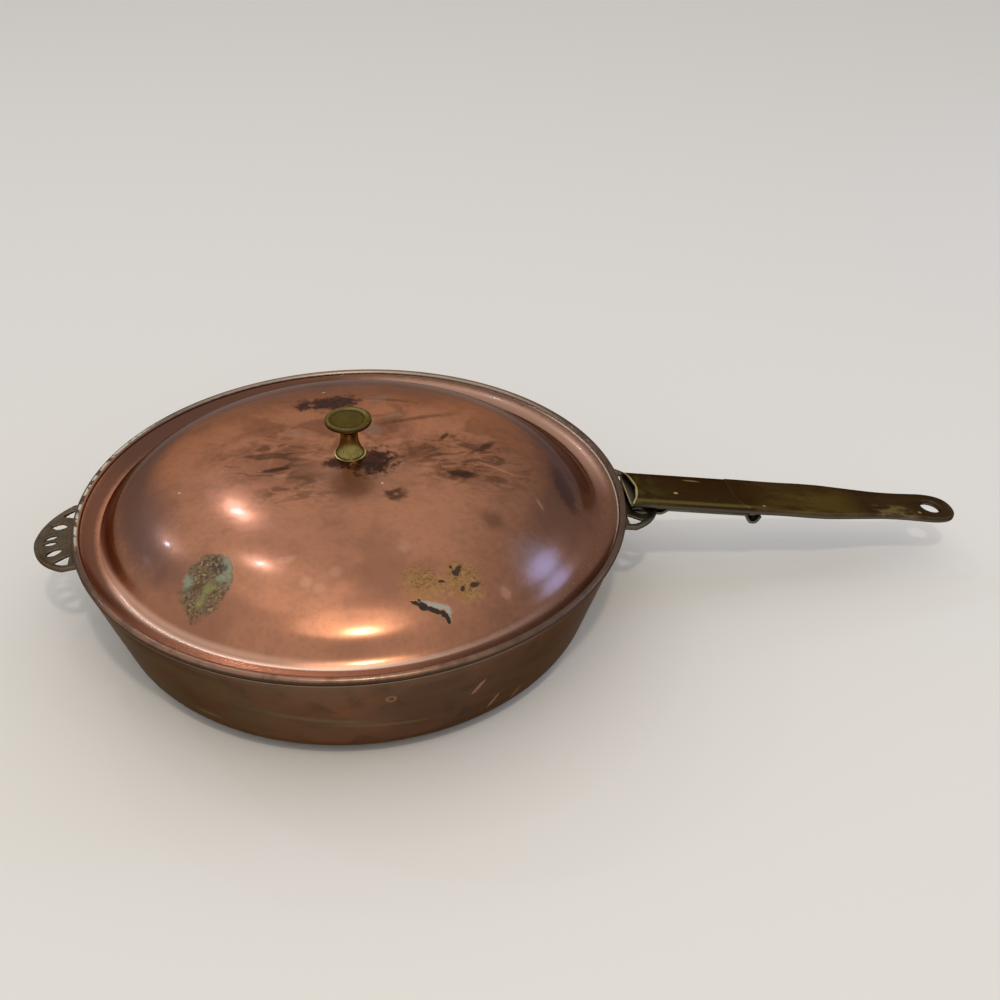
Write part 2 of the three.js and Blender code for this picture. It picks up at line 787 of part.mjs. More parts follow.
// Spring strap in side view: jaw under the lug, step up, flat run and a folded finger catch
function handle_strap() {
  const jaw_top = -(lug_height + 2 * seat_gap);
  const fold_end = strap_fold_start + strap_fold_length;
  const fold_middle = (strap_fold_start + fold_end) / 2;
  const fold_top = strap_thickness - strap_fold_depth;
  const upper = [
    [strap_jaw_start, jaw_top],
    [strap_step_start, jaw_top],
    [strap_step_end, strap_top],
    [strap_fold_start, strap_top],
    [fold_middle, fold_top],
    [fold_end - strap_thickness, fold_top],
    [fold_end, strap_top - strap_thickness],
  ];
  const lower = offset_line(upper, strap_thickness);
  const outline = [...upper, ...lower.reverse()].map(([x, z]) => new THREE.Vector2(x, z));
  const side = new THREE.Shape(outline);
  let strap = to_solid(draw_across(side, strap_width));
  for (const place of [front_rivet_place, rear_rivet_place]) {
    strap = strap.subtract(handle_rivet_hole(place));
  }
  return part('handle_strap', to_geometry(strap), 'strap_metal');
}

// A rivet through socket, liner and strap: a low head below, hammered flush on top
function handle_rivet(name, place) {
  const low = strap_top - strap_thickness - seat_gap;
  const high = socket_high - handle_rivet_dip;
  const profile = [
    ...domed_head(handle_rivet_head, low, -handle_rivet_head_height),
    [handle_rivet_radius, low],
    [handle_rivet_radius, socket_high - handle_rivet_sink],
    [handle_rivet_flush, high],
    [0, high],
  ];
  return part(name, revolve(profile, rivet_segments).translate(place, 0, 0), 'brass_handle');
}

// Assembly
const pan = new THREE.Group();
pan.add(pan_body());
for (const [name, side] of [['lug_right', 0], ['lug_left', Math.PI]]) {
  pan.add(lug(name, side));
  rivet_places().forEach((place, i) => {
    pan.add(lug_rivet(`${name}_rivet_${i + 1}`, place, side));
  });
}

const lid = new THREE.Group();
lid.add(lid_shell(), lid_rim_wire(), knob_collar(), knob(), knob_washer(), knob_shank());
lid.position.x = lid_shift_x;

const handle = new THREE.Group();
handle.add(handle_socket(), handle_grip(), handle_liner(), handle_strap());
handle.add(handle_rivet('handle_rivet_front', front_rivet_place));
handle.add(handle_rivet('handle_rivet_rear', rear_rivet_place));
handle.applyMatrix4(lug_frame());
handle.translateZ(seat_gap);

const skillet = new THREE.Group();
skillet.add(pan, lid, handle);

export default skillet;
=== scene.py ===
"""The looks of a lidded copper skillet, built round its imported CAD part. Sizes are in millimetres."""

import logging
import math
from dataclasses import dataclass
from enum import Enum
from typing import Any, Optional, Sequence

import bmesh
import bpy
from mathutils import Matrix, Vector


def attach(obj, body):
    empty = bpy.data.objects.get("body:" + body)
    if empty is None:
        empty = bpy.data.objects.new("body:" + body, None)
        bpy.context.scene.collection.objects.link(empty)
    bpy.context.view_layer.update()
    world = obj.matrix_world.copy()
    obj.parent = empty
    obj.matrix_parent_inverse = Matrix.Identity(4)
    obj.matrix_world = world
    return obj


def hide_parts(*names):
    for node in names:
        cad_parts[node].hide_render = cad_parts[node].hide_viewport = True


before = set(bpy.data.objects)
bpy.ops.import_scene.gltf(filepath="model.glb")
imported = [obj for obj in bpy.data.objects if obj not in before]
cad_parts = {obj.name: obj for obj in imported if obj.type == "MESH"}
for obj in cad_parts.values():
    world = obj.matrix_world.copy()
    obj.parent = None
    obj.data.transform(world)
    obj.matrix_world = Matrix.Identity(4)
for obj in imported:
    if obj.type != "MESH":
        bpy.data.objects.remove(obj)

# One millimetre in Blender's metres
MM = 0.001
# The reach of a patch along an axis on which it has no end
ENDLESS = 10000.0
# How near points have to be, in metres, to be one point of a turned or of a cut shape
TURNED_MERGE, CUT_MERGE = 1e-7, 2e-6
LOG = logging.getLogger("skillet")
Material, Socket, Tree = bpy.types.Material, bpy.types.NodeSocket, bpy.types.NodeTree
Shape = bmesh.types.BMesh
Point = tuple[float, float]
Place = tuple[float, float, float]


class Body(Enum):
    """The three bodies that move apart."""

    PAN = "pan"
    LID = "lid"
    HANDLE = "handle"


class Side(Enum):
    """The side of the pan that a lug is on, as its turn about the upright axis."""

    RIGHT = 0.0
    LEFT = math.pi


# ---------------------------------------------------------------------------------------------
# Colour and shader helpers


def linear(hex_colour: str) -> tuple[float, float, float, float]:
    """Turns an sRGB hex colour into linear light.

    Args:
        hex_colour: six hex digits after a hash sign.

    Returns:
        Red, green, blue and alpha from 0 to 1.
    """
    shares = [int(hex_colour[i : i + 2], 16) / 255 for i in (1, 3, 5)]
    light = [s / 12.92 if s <= 0.04045 else ((s + 0.055) / 1.055) ** 2.4 for s in shares]
    return (light[0], light[1], light[2], 1.0)


def add(tree: Tree, kind: str, inputs: Optional[dict[Any, Any]] = None, **settings: Any) -> bpy.types.Node:
    """Adds a node with its settings and links.

    Args:
        tree: the node tree.
        kind: the node's type, such as ShaderNodeMath.
        inputs: what goes into each input, by name or number: a socket to link or a plain value.
        settings: the node's own properties.

    Returns:
        The new node.
    """
    node = tree.nodes.new(kind)
    for name, value in settings.items():
        setattr(node, name, value)
    for key, value in (inputs or {}).items():
        if isinstance(value, Socket):
            tree.links.new(value, node.inputs[key])
        else:
            node.inputs[key].default_value = value
    return node


@dataclass
class Ground:
    """What the masks of one material share.

    Args:
        tree: the material's node tree.
        place: where the surface is, in millimetres, in the piece's own frame.
        torn: a cloudy value from -0.5 to 0.5 that frays the edges of patches.
    """

    tree: Tree
    place: Socket
    torn: Socket


class Mask:
    """Where a coat lies on a surface, as a value from 0 to 1."""

    def draw(self, ground: Ground) -> Socket:
        """Returns the socket that carries the mask."""
        raise NotImplementedError

    def within(self, *others: "Mask") -> "Mask":
        """Returns this mask, kept inside each of the others."""
        return Where(self, inside=others)

    def without(self, *others: "Mask") -> "Mask":
        """Returns this mask, kept out of each of the others."""
        return Where(self, outside=others)


@dataclass(frozen=True)
class Clouds(Mask):
    """Soft blotches of one size, as tarnish spreads.

    Args:
        size: the size of a blotch.
        low: the cloud value where the coat starts.
        high: the cloud value where it is full.
        detail: how many finer layers of cloud are added.
        stretch: how much longer the blotches are along each axis.
        twist: how far the clouds are bent.
        offset: shifts the clouds, so that two masks differ.
        gain: how strong each finer layer is beside the one before.
    """

    size: float
    low: float
    high: float
    detail: float = 5.0
    stretch: Place = (1.0, 1.0, 1.0)
    twist: float = 0.0
    offset: float = 0.0
    gain: float = 0.6

    def draw(self, ground: Ground) -> Socket:
        """Returns the socket that carries the mask."""
        tree = ground.tree
        shrink = tuple(1 / (self.size * share) for share in self.stretch)
        shift = (self.offset, self.offset, 0)
        shifted = add(tree, "ShaderNodeMapping", {"Vector": ground.place, "Location": shift, "Scale": shrink})
        looks = {"Scale": 1.0, "Detail": self.detail, "Roughness": self.gain, "Distortion": self.twist}
        cloud = add(tree, "ShaderNodeTexNoise", {"Vector": shifted.outputs[0], **looks})
        limits = {"Value": cloud.outputs["Fac"], "From Min": self.low, "From Max": self.high}
        return add(tree, "ShaderNodeMapRange", limits, interpolation_type="SMOOTHSTEP").outputs[0]


@dataclass(frozen=True)
class Patch(Mask):
    """One oval patch with a frayed edge: a stain, a spot or, when thin, a scratch.

    Args:
        centre: its middle.
        reach: how far it goes along each axis, before its turn.
        turn: its turn about the upright axis, in degrees.
        fray: how ragged its edge is.
        soft: how soft its edge is.
        tilt: its tilt about its own Y axis, in degrees, for marks on a wall.
    """

    centre: Place
    reach: Place
    turn: float = 0.0
    fray: float = 1.0
    soft: float = 0.3
    tilt: float = 0.0

    def draw(self, ground: Ground) -> Socket:
        """Returns the socket that carries the mask."""
        tree = ground.tree
        spin = (0, math.radians(self.tilt), math.radians(self.turn))
        around = {"Vector": ground.place, "Center": self.centre, "Rotation": spin}
        turned = add(tree, "ShaderNodeVectorRotate", around, rotation_type="EULER_XYZ", invert=True)
        shares = [1 / reach for reach in self.reach]
        start = [-middle * share for middle, share in zip(self.centre, shares)]
        shrink = {0: turned.outputs[0], 1: shares, 2: start}
        shrunk = add(tree, "ShaderNodeVectorMath", shrink, operation="MULTIPLY_ADD")
        away = add(tree, "ShaderNodeVectorMath", {0: shrunk.outputs[0]}, operation="LENGTH")
        fray = {0: ground.torn, 1: self.fray, 2: away.outputs["Value"]}
        frayed = add(tree, "ShaderNodeMath", fray, operation="MULTIPLY_ADD")
        limits = {"Value": frayed.outputs[0], "From Min": 1 + self.soft, "From Max": 1 - self.soft}
        return add(tree, "ShaderNodeMapRange", limits, interpolation_type="SMOOTHSTEP").outputs[0]


@dataclass(frozen=True)
class Ring(Mask):
    """A band between two distances from the upright axis.

    Args:
        inner: where it starts.
        outer: where it ends.
        soft: the width over which it fades.
        fray: how far its edges wander.
    """

    inner: float
    outer: float
    soft: float = 4.0
    fray: float = 0.0

    def draw(self, ground: Ground) -> Socket:
        """Returns the socket that carries the mask."""
        tree = ground.tree
        flat = add(tree, "ShaderNodeVectorMath", {0: ground.place, 1: (1, 1, 0)}, operation="MULTIPLY")
        away = add(tree, "ShaderNodeVectorMath", {0: flat.outputs[0]}, operation="LENGTH")
        fray = {0: ground.torn, 1: self.fray, 2: away.outputs["Value"]}
        wander = add(tree, "ShaderNodeMath", fray, operation="MULTIPLY_ADD")
        edges = []
        for empty, full in ((self.inner, self.inner + self.soft), (self.outer, self.outer - self.soft)):
            limits = {"Value": wander.outputs[0], "From Min": empty, "From Max": full}
            edges.append(add(tree, "ShaderNodeMapRange", limits, interpolation_type="SMOOTHSTEP"))
        both = {number: edge.outputs[0] for number, edge in enumerate(edges)}
        return add(tree, "ShaderNodeMath", both, operation="MULTIPLY").outputs[0]


@dataclass(frozen=True)
class Slope(Mask):
    """A fade along one direction.

    Args:
        along: the direction.
        start: the distance along it where the coat starts.
        full: the distance where it is full.
        fray: how far the edge wanders.
    """

    along: Place
    start: float
    full: float
    fray: float = 0.0

    def draw(self, ground: Ground) -> Socket:
        """Returns the socket that carries the mask."""
        tree = ground.tree
        reach = add(tree, "ShaderNodeVectorMath", {0: ground.place, 1: self.along}, operation="DOT_PRODUCT")
        fray = {0: ground.torn, 1: self.fray, 2: reach.outputs["Value"]}
        wander = add(tree, "ShaderNodeMath", fray, operation="MULTIPLY_ADD")
        limits = {"Value": wander.outputs[0], "From Min": self.start, "From Max": self.full}
        return add(tree, "ShaderNodeMapRange", limits, interpolation_type="SMOOTHSTEP").outputs[0]


@dataclass(frozen=True)
class Pits(Mask):
    """Small round specks at random, as corrosion or splashes leave.

    Args:
        spacing: the mean distance between specks.
        size: the radius of a speck as a share of the spacing.
        core: the share of that radius inside which the speck is full.
    """

    spacing: float
    size: float
    core: float = 0.6

    def draw(self, ground: Ground) -> Socket:
        """Returns the socket that carries the mask."""
        tree = ground.tree
        scatter = {"Vector": ground.place, "Scale": 1 / self.spacing, "Randomness": 1.0}
        cell = add(tree, "ShaderNodeTexVoronoi", scatter)
        limits = {"Value": cell.outputs["Distance"], "From Min": self.size, "From Max": self.size * self.core}
        return add(tree, "ShaderNodeMapRange", limits).outputs[0]


@dataclass(frozen=True)
class Hair(Mask):
    """Fine hairline scratches along one direction.

    Args:
        length: the length of a scratch.
        width: its width.
        turn: its direction about the upright axis, in degrees.
        share: the cloud value above which there is a scratch.
        fade: how much the cloud value rises from a scratch's edge to its middle.
    """

    length: float
    width: float
    turn: float
    share: float
    fade: float = 0.06

    def draw(self, ground: Ground) -> Socket:
        """Returns the socket that carries the mask."""
        tree = ground.tree
        spin, squeeze = (0, 0, math.radians(self.turn)), (1 / self.length, 1 / self.width, 1 / self.width)
        turned = add(tree, "ShaderNodeMapping", {"Vector": ground.place, "Rotation": spin, "Scale": squeeze})
        cloud = add(tree, "ShaderNodeTexNoise", {"Vector": turned.outputs[0], "Scale": 1.0, "Detail": 1.0})
        limits = {"Value": cloud.outputs["Fac"], "From Min": self.share, "From Max": self.share + self.fade}
        return add(tree, "ShaderNodeMapRange", limits).outputs[0]


@dataclass(frozen=True)
class Where(Mask):
    """One mask inside others, each either kept or left out.

    Args:
        first: the mask itself.
        inside: the masks that it is kept inside.
        outside: the masks that it is kept out of.
    """

    first: Mask
    inside: tuple[Mask, ...] = ()
    outside: tuple[Mask, ...] = ()

    def draw(self, ground: Ground) -> Socket:
        """Returns the socket that carries the mask."""
        tree = ground.tree
        made = self.first.draw(ground)
        for mask in self.inside:
            both = {0: made, 1: mask.draw(ground)}
            made = add(tree, "ShaderNodeMath", both, operation="MULTIPLY").outputs[0]
        for mask in self.outside:
            parts = {0: 1.0, 1: mask.draw(ground)}
            rest = add(tree, "ShaderNodeMath", parts, operation="SUBTRACT", use_clamp=True).outputs[0]
            made = add(tree, "ShaderNodeMath", {0: made, 1: rest}, operation="MULTIPLY").outputs[0]
        return made


@dataclass(frozen=True)
class AnyOf(Mask):
    """Several masks of one coat.

    Args:
        masks: the masks, the strongest of which counts.
    """

    masks: tuple[Mask, ...]

    def draw(self, ground: Ground) -> Socket:
        """Returns the socket that carries the mask."""
        made = self.masks[0].draw(ground)
        for mask in self.masks[1:]:
            pair = {0: made, 1: mask.draw(ground)}
            made = add(ground.tree, "ShaderNodeMath", pair, operation="MAXIMUM").outputs[0]
        return made


def ovals(*places: tuple[float, ...], fray: float = 1.0, soft: float = 0.3) -> Mask:
    """Scatters oval patches over a surface that is seen from above.

    Args:
        places: for each patch its middle's X and Y, its reach along and across, and its turn in degrees.
        fray: how ragged their edges are.
        soft: how soft their edges are.

    Returns:
        The patches as one mask.
    """
    return AnyOf(tuple(
        Patch((x, y, 0), (along, across, ENDLESS), turn, fray, soft) for x, y, along, across, turn in places
    ))


@dataclass(frozen=True)
class Coat:
    """A tarnish, stain or wear mark over what is below it.

    Args:
        colour: its sRGB hex colour.
        mask: where it lies.
        strength: how much it covers, from 0 to 1.
        roughness: its roughness where it covers, or None to keep what is below.
        metallic: its metallic value where it covers, or None to keep what is below.
        height: how far it stands up, or sinks if negative, in millimetres.
    """

    colour: str
    mask: Mask
    strength: float = 1.0
    roughness: Optional[float] = None
    metallic: Optional[float] = None
    height: float = 0.0


@dataclass(frozen=True)
class AgedMetal:
    """A metal with its tarnish, drawn from the ground up.

    Args:
        name: the material's name.
        colour: the clean metal's sRGB hex colour.
        roughness: the clean metal's roughness.
        coats: what lies over it, from the bottom up.
        grain: size and depth of the surface's fine unevenness.
        waves: size and depth of its slow unevenness, which bends reflections.
        origin: where the piece's own frame starts.
        droop: how far that frame leans down about the Y axis, in degrees.
        glance: the sRGB hex colour of its reflection at a glancing angle.
        tear: the size of the raggedness at the edges of patches.
        film: how much of a thin clear film of wax lies on it, from 0 to 1.
        film_roughness: the film's roughness.
        tear_detail: how many finer layers the raggedness has.
        tear_gain: how strong each finer layer is beside the one before.
        grain_detail: how many finer layers the unevenness has.
    """

    name: str
    colour: str
    roughness: float
    coats: tuple[Coat, ...] = ()
    grain: Point = (0.8, 0.01)
    waves: Point = (30.0, 0.05)
    origin: Place = (0.0, 0.0, 0.0)
    droop: float = 0.0
    glance: str = "#b4a89c"
    tear: float = 4.0
    film: float = 0.0
    film_roughness: float = 0.08
    tear_detail: float = 6.0
    tear_gain: float = 0.65
    grain_detail: float = 2.0

    def build(self) -> Material:
        """Makes the material.

        Returns:
            The material, with every coat mixed in.
        """
        material = bpy.data.materials.new(self.name)
        material.use_nodes = True
        tree = material.node_tree
        tree.nodes.clear()
        ground = self.lay_ground(tree)
        colour: Any = linear(self.colour)
        roughness: Any = self.roughness
        metallic: Any = 1.0
        height: Any = 0.0
        for coat in self.coats:
            mask = coat.mask.draw(ground)
            if coat.strength < 1:
                thinner = {0: mask, 1: coat.strength}
                mask = add(tree, "ShaderNodeMath", thinner, operation="MULTIPLY").outputs[0]
            layers = {"Factor": mask, 6: colour, 7: linear(coat.colour)}
            colour = add(tree, "ShaderNodeMix", layers, data_type="RGBA").outputs[2]
            if coat.roughness is not None:
                layers = {"Factor": mask, 2: roughness, 3: coat.roughness}
                roughness = add(tree, "ShaderNodeMix", layers).outputs[0]
            if coat.metallic is not None:
                layers = {"Factor": mask, 2: metallic, 3: coat.metallic}
                metallic = add(tree, "ShaderNodeMix", layers).outputs[0]
            if coat.height:
                raised = {0: mask, 1: coat.height, 2: height}
                height = add(tree, "ShaderNodeMath", raised, operation="MULTIPLY_ADD").outputs[0]
        normal = self.shape_surface(tree, ground, height)
        looks = {"Base Color": colour, "Roughness": roughness, "Metallic": metallic}
        looks |= {"Specular Tint": linear(self.glance), "Coat Weight": self.film}
        looks |= {"Coat Roughness": self.film_roughness, "Coat Normal": normal, "Normal": normal}
        shader = add(tree, "ShaderNodeBsdfPrincipled", looks)
        add(tree, "ShaderNodeOutputMaterial", {"Surface": shader.outputs[0]})
        return material

    def lay_ground(self, tree: Tree) -> Ground:
        """Makes the coordinates and the shared fraying.

        Args:
            tree: the material's node tree.

        Returns:
            The ground that the masks read.
        """
        seen = add(tree, "ShaderNodeTexCoord")
        scale = {0: seen.outputs["Object"], "Scale": 1 / MM}
        millimetres = add(tree, "ShaderNodeVectorMath", scale, operation="SCALE").outputs[0]
        start = {0: millimetres, 1: self.origin}
        shifted = add(tree, "ShaderNodeVectorMath", start, operation="SUBTRACT").outputs[0]
        lean = (0, math.radians(-self.droop), 0)
        place = add(tree, "ShaderNodeMapping", {"Vector": shifted, "Rotation": lean}).outputs[0]
        ragged = {"Scale": 1 / self.tear, "Detail": self.tear_detail, "Roughness": self.tear_gain}
        cloud = add(tree, "ShaderNodeTexNoise", {"Vector": place, **ragged})
        torn = add(tree, "ShaderNodeMath", {0: cloud.outputs["Fac"], 1: 0.5}, operation="SUBTRACT")
        return Ground(tree, place, torn.outputs[0])

    def shape_surface(self, tree: Tree, ground: Ground, height: Any) -> Socket:
        """Bends the surface by its waves, its grain and its coats.

        Args:
            tree: the material's node tree.
            ground: the shared coordinates.
            height: how far the coats stand up, in millimetres.

        Returns:
            The bent normal.
        """
        below: dict[str, Socket] = {}
        for size, depth in (self.waves, self.grain):
            cloud_looks = {"Vector": ground.place, "Scale": 1 / size, "Detail": self.grain_detail}
            cloud = add(tree, "ShaderNodeTexNoise", cloud_looks)
            bend = {"Height": cloud.outputs["Fac"], "Distance": depth * MM, "Strength": 1.0}
            below = {"Normal": add(tree, "ShaderNodeBump", bend | below).outputs[0]}
        raised = {"Height": height, "Distance": MM, "Strength": 1.0}
        return add(tree, "ShaderNodeBump", raised | below).outputs[0]


# ---------------------------------------------------------------------------------------------
# Finishes


# Directions along which a coat thickens or fades on the lid
FRONT, BACK, RIGHT, LEFT = (0.14, -0.99, 0.0), (-0.1, 0.99, 0.0), (0.97, -0.24, 0.0), (-0.98, 0.2, 0.0)
UP, DOWN = (0.0, 0.0, 1.0), (0.0, 0.0, -1.0)

# The outline of the corroded spot on the left: an oval that fades out at the upper left
CORRODED = ovals((-74.5, -87.5, 12.8, 15.8, -14), fray=0.55, soft=0.12)

# Tarnish all over the lid: brown clouds of three sizes; darker at the dome's foot, rear and right side, as
# oxide and as painted shade
LID_TARNISH_AND_SHADE = (
    Coat("#7d5443", Clouds(62, 0.42, 0.70, detail=4), 0.50, 0.24),
    Coat("#8a5e4a", Clouds(15, 0.48, 0.72, twist=0.5), 0.40, 0.25),
    Coat("#9a6a53", Clouds(3.2, 0.46, 0.66), 0.35),
    # Painted shade as well as oxide: the darker ring at the dome's foot, and the darker rear and right side
    Coat("#4e3930", Ring(100, 136, 16, fray=8).without(Slope(FRONT, 34, 98)), 0.80, 0.34, 0.9),
    Coat("#4a3022", Slope(BACK, 40, 112, fray=20), 0.84, 0.48, 0.9),
    Coat("#51372b", Slope(RIGHT, 44, 116, fray=26), 0.72, 0.30, 0.9),
)

# Burnt stains round the knob: smoky clouds, brown spots with nearly black cores, and thin streaks
LID_BURNS = (
    Coat(
        "#6b4230",
        Clouds(24, 0.42, 0.60, detail=6, twist=0.8).within(ovals((6, 16, 78, 46, -8), soft=0.6)),
        0.60, 0.32,
    ),
    Coat(
        "#452b1e",
        Clouds(8, 0.44, 0.60, detail=6, stretch=(2.0, 0.9, 1), twist=1.0, offset=2.0).within(
            ovals((-40, 0, 26, 24, 0), (-26, -30, 27, 13, -12), (66, -12, 32, 24, -20), soft=0.6)
        ),
        0.65, 0.36,
    ),
    Coat("#a3745c", ovals((2, -20, 26, 20, 0), soft=0.7), 0.85, 0.44),
    Coat(
        "#4e2f1e",
        ovals(
            (60, -25, 12, 6, -12), (71, -62, 5, 6, 0), (40, -2, 15, 8, 20), (-24, -21, 9, 5, 0),
            fray=1.6, soft=0.8,
        ),
        0.55, 0.36,
    ),
    Coat(
        "#331c0e",
        ovals(
            (60, -25, 7, 3.4, -12), (22.6, -41.8, 5.4, 5, 0), (116, -20, 5, 17, 6), (76, 4, 2.2, 7, -40),
            (53, 13, 1.6, 5, -30), (-40, -11, 8, 2, 10), fray=2.2, soft=0.5,
        ),
        0.80, 0.40,
    ),
    Coat(
        "#3c1f0d",
        ovals(
            (-8, 60, 15, 8.5, 6), (-24, 59, 5, 7, 0), (12, -9, 11.5, 12.5, 30), (-6, -8, 8, 5, 0),
            fray=3.0, soft=0.45,
        ),
        0.94, 0.42, 0.95,
    ),
    Coat(
        "#26150a",
        Clouds(3.4, 0.44, 0.58, offset=4.5).within(
            ovals((-8, 60, 15, 8, 6), (14, -9, 12, 12, 30), fray=2.4, soft=0.5)
        ),
        0.60,
    ),
    Coat(
        "#50382b",
        ovals(
            (38, 35, 20, 1.9, 14), (27, 60, 13, 1.4, -14), (70, -1, 9, 1.3, 40), (46, -1, 5, 1.2, 30),
            fray=1.8, soft=0.8,
        ),
        0.60, 0.38,
    ),
)

# Grey smears, rubbed spots, bright dents, a mauve painted reflection, painted shade on the dome's left side
# and hairline scratches
LID_MARKS_AND_PAINTED_LIGHT = (
    Coat(
        "#8b7c6a",
        ovals(
            (19, 62, 6, 3.4, 30), (27, 40, 5, 2.6, 20), (14, 25, 4, 6, 0), (-28, 25, 3.4, 2.6, 0),
            fray=3.0, soft=0.8,
        ),
        0.42, 0.46, 0.8,
    ),
    Coat(
        "#c8957a",
        ovals(
            (24, -83, 3.4, 3.4, 0), (-11, -96, 3.2, 3.2, 0), (-26, -100, 3.0, 2.8, 0),
            (-35, -85, 4.4, 2.4, 10), (-20, -104, 2.6, 2.4, 0), (72, -103, 2.4, 2.4, 0),
            (79, -18, 11, 0.7, -26), (99, -43, 0.8, 3.6, 20), (22.6, -41.8, 1.6, 1.3, 0),
            (-37, -17, 3.6, 1.6, 0), fray=1.0, soft=0.5,
        ),
        0.32, 0.34,
    ),
    Coat(
        "#e6cbb8",
        ovals((-91, -18, 0.7, 0.7, 0), (16, -31, 0.7, 0.7, 0), (-12, 77, 0.8, 0.8, 0), fray=0, soft=0.3),
        0.9, 0.3,
    ),
    # Painted reflection: a mauve patch where a bluish window shows on the dome's right front
    Coat("#8c7c86", ovals((95, -83, 13, 12, 0), fray=1.0, soft=0.8), 0.55, 0.26),
    # Painted shade: a darker patch on the dome's left side
    Coat("#6f524a", ovals((-106, -30, 13, 34, 12), fray=1.2, soft=0.8), 0.60, 0.26),
    Coat("#c58f74", Hair(26, 0.5, 24, 0.72), 0.25),
    Coat("#5b3a2a", Hair(30, 0.4, -52, 0.73), 0.30),
)

# The trough round the dome: painted highlights at the front, along the dome's foot and at the far right,
# painted shade at the sides and rear, and pale specks
LID_TROUGH_PAINTED_LIGHT_AND_SPECKS = (
    # Painted highlight: the trough bright at the front
    Coat("#f2cdb8", Ring(136, 150, 2.5).within(Slope((-0.20, -0.98, 0), 60, 120)), 0.92, 0.26, 0.95),
    # Painted shade: the trough darker at the left and at the right
    Coat("#6d4636", Ring(138.5, 149, 3, fray=2).within(Slope((-0.97, 0.24, 0), 40, 112)), 0.85, 0.34),
    Coat("#6f4a3a", Ring(135, 149, 3, fray=2).within(Slope((0.86, -0.5, 0), 60, 118)), 0.75, 0.34),
    # Painted highlight: a bright line along the dome's foot at the front left
    Coat("#dfb29a", Ring(133.5, 137.5, 1.8).within(Slope((-0.82, -0.57, 0), 70, 124)), 0.60, 0.24),
    # Painted shade: the trough darker at the rear
    Coat("#5f4032", Ring(134, 149, 2).within(Slope(BACK, 40, 90)), 0.75, 0.34),
    # Painted highlight: the trough lighter at the far right, with a bright line along the dome's foot
    Coat("#c09680", Ring(137, 148.5, 4, fray=2).within(Slope((0.72, 0.69, 0), 92, 128)), 0.60, 0.28),
    Coat("#dcbca8", Ring(134.5, 137.5, 1.6).within(Slope((0.72, 0.69, 0), 92, 128)), 0.60, 0.26),
    Coat(
        "#c39c7a",
        Pits(2.4, 0.15).within(Ring(136, 149, 3), Slope((0.72, -0.69, 0), 60, 110)),
        0.55, 0.5, 0.7,
    ),
)

# The corroded spot on the left: an earthy crust with green, grey and dark parts
LID_GREEN_SPOT = (
    Coat("#6b5842", CORRODED, 0.90, 0.60, 0.35, 0.04),
    Coat("#4a3b28", Clouds(1.9, 0.48, 0.58, detail=3, offset=8.2).within(CORRODED), 0.75, 0.6, 0.3),
    Coat("#9d8c68", Clouds(1.5, 0.56, 0.64, detail=3, offset=3.1).within(CORRODED), 0.80, 0.7, 0.1, 0.04),
    Coat(
        "#88917a",
        ovals(
            (-64, -82, 3.0, 9, -4), (-67, -88, 3.4, 3.0, 0), (-84.5, -84, 3.0, 4.5, 20), fray=1.8, soft=0.5,
        ).within(CORRODED),
        0.75, 0.7, 0.1, 0.05,
    ),
    Coat(
        "#332d25",
        Clouds(2.2, 0.46, 0.54, detail=2, stretch=(0.7, 1.6, 1), offset=5.7).within(
            ovals((-69.5, -79.5, 4, 7, 24), soft=0.3)
        ),
        0.75, 0.6, 0.1,
    ),
    Coat("#523b26", ovals((-77, -88.5, 9.5, 1.7, -10), fray=1.2, soft=0.5), 0.75, 0.5, 0.4),
    Coat(
        "#8b8c52",
        ovals((-73.5, -91.0, 2.6, 2.6, -24), (-78, -96, 3.4, 2.0, 40), fray=3.2, soft=0.6),
        0.60, 0.7, 0.1, 0.04,
    ),
)

# The ochre spot in front on the right, with dark specks, and below it a black scrape with a grey painted
# highlight along its upper edge
LID_OCHRE_SPOT = (
    Coat(
        "#90683f",
        ovals((31, -104.5, 11, 8.5, -8), (51, -101.5, 9.5, 10, 0), fray=1.7, soft=0.35),
        0.85, 0.48, 0.6, 0.02,
    ),
    Coat(
        "#9f7e50",
        Clouds(2.2, 0.47, 0.60, offset=1.3).within(
            ovals((32, -105, 11, 8, -8), (52, -102, 9, 9.5, 0), (41, -108, 5, 4, 0), fray=1.6)
        ),
        0.55, 0.55, 0.4, 0.02,
    ),
    Coat(
        "#5f4326",
        Clouds(1.5, 0.52, 0.60, offset=6.6).within(
            ovals((52, -100, 9, 9, 0), (31, -101, 10, 7, 0), fray=1.4)
        ),
        0.65, 0.6, 0.5,
    ),
    # Painted highlight: the grey along the upper edge of the black scrape
    Coat(
        "#9b9a90",
        ovals((36.5, -114.9, 6.4, 1.2, -8), (42, -117, 1.3, 2.4, 0), fray=2.2, soft=0.5),
        0.9, 0.6, 0.2, 0.06,
    ),
    Coat(
        "#12150f",
        ovals(
            (26, -114.4, 2.4, 0.9, -20), (30, -116, 2.6, 1.7, -20), (35, -117.2, 4.6, 1.2, -14),
            (40.2, -118.3, 2.3, 1.7, -20), (41.6, -119.8, 1.0, 1.3, 0), fray=2.4, soft=0.2,
        ),
        0.96, 0.6, 0.2, -0.15,
    ),
    Coat(
        "#241a10",
        ovals(
            (49, -96, 3.4, 1.4, 56), (47.6, -98, 1.6, 1.5, 0), (56.6, -102.8, 3.2, 1.2, 28),
            (50.2, -105.6, 1.6, 0.9, 50), (39.8, -103.1, 1.9, 0.7, 6), (45.4, -95, 0.7, 0.7, 0),
            (28, -113, 0.6, 0.6, 0), fray=2.4, soft=0.25,
        ),
        0.92, 0.6, 0.2, -0.08,
    ),
)
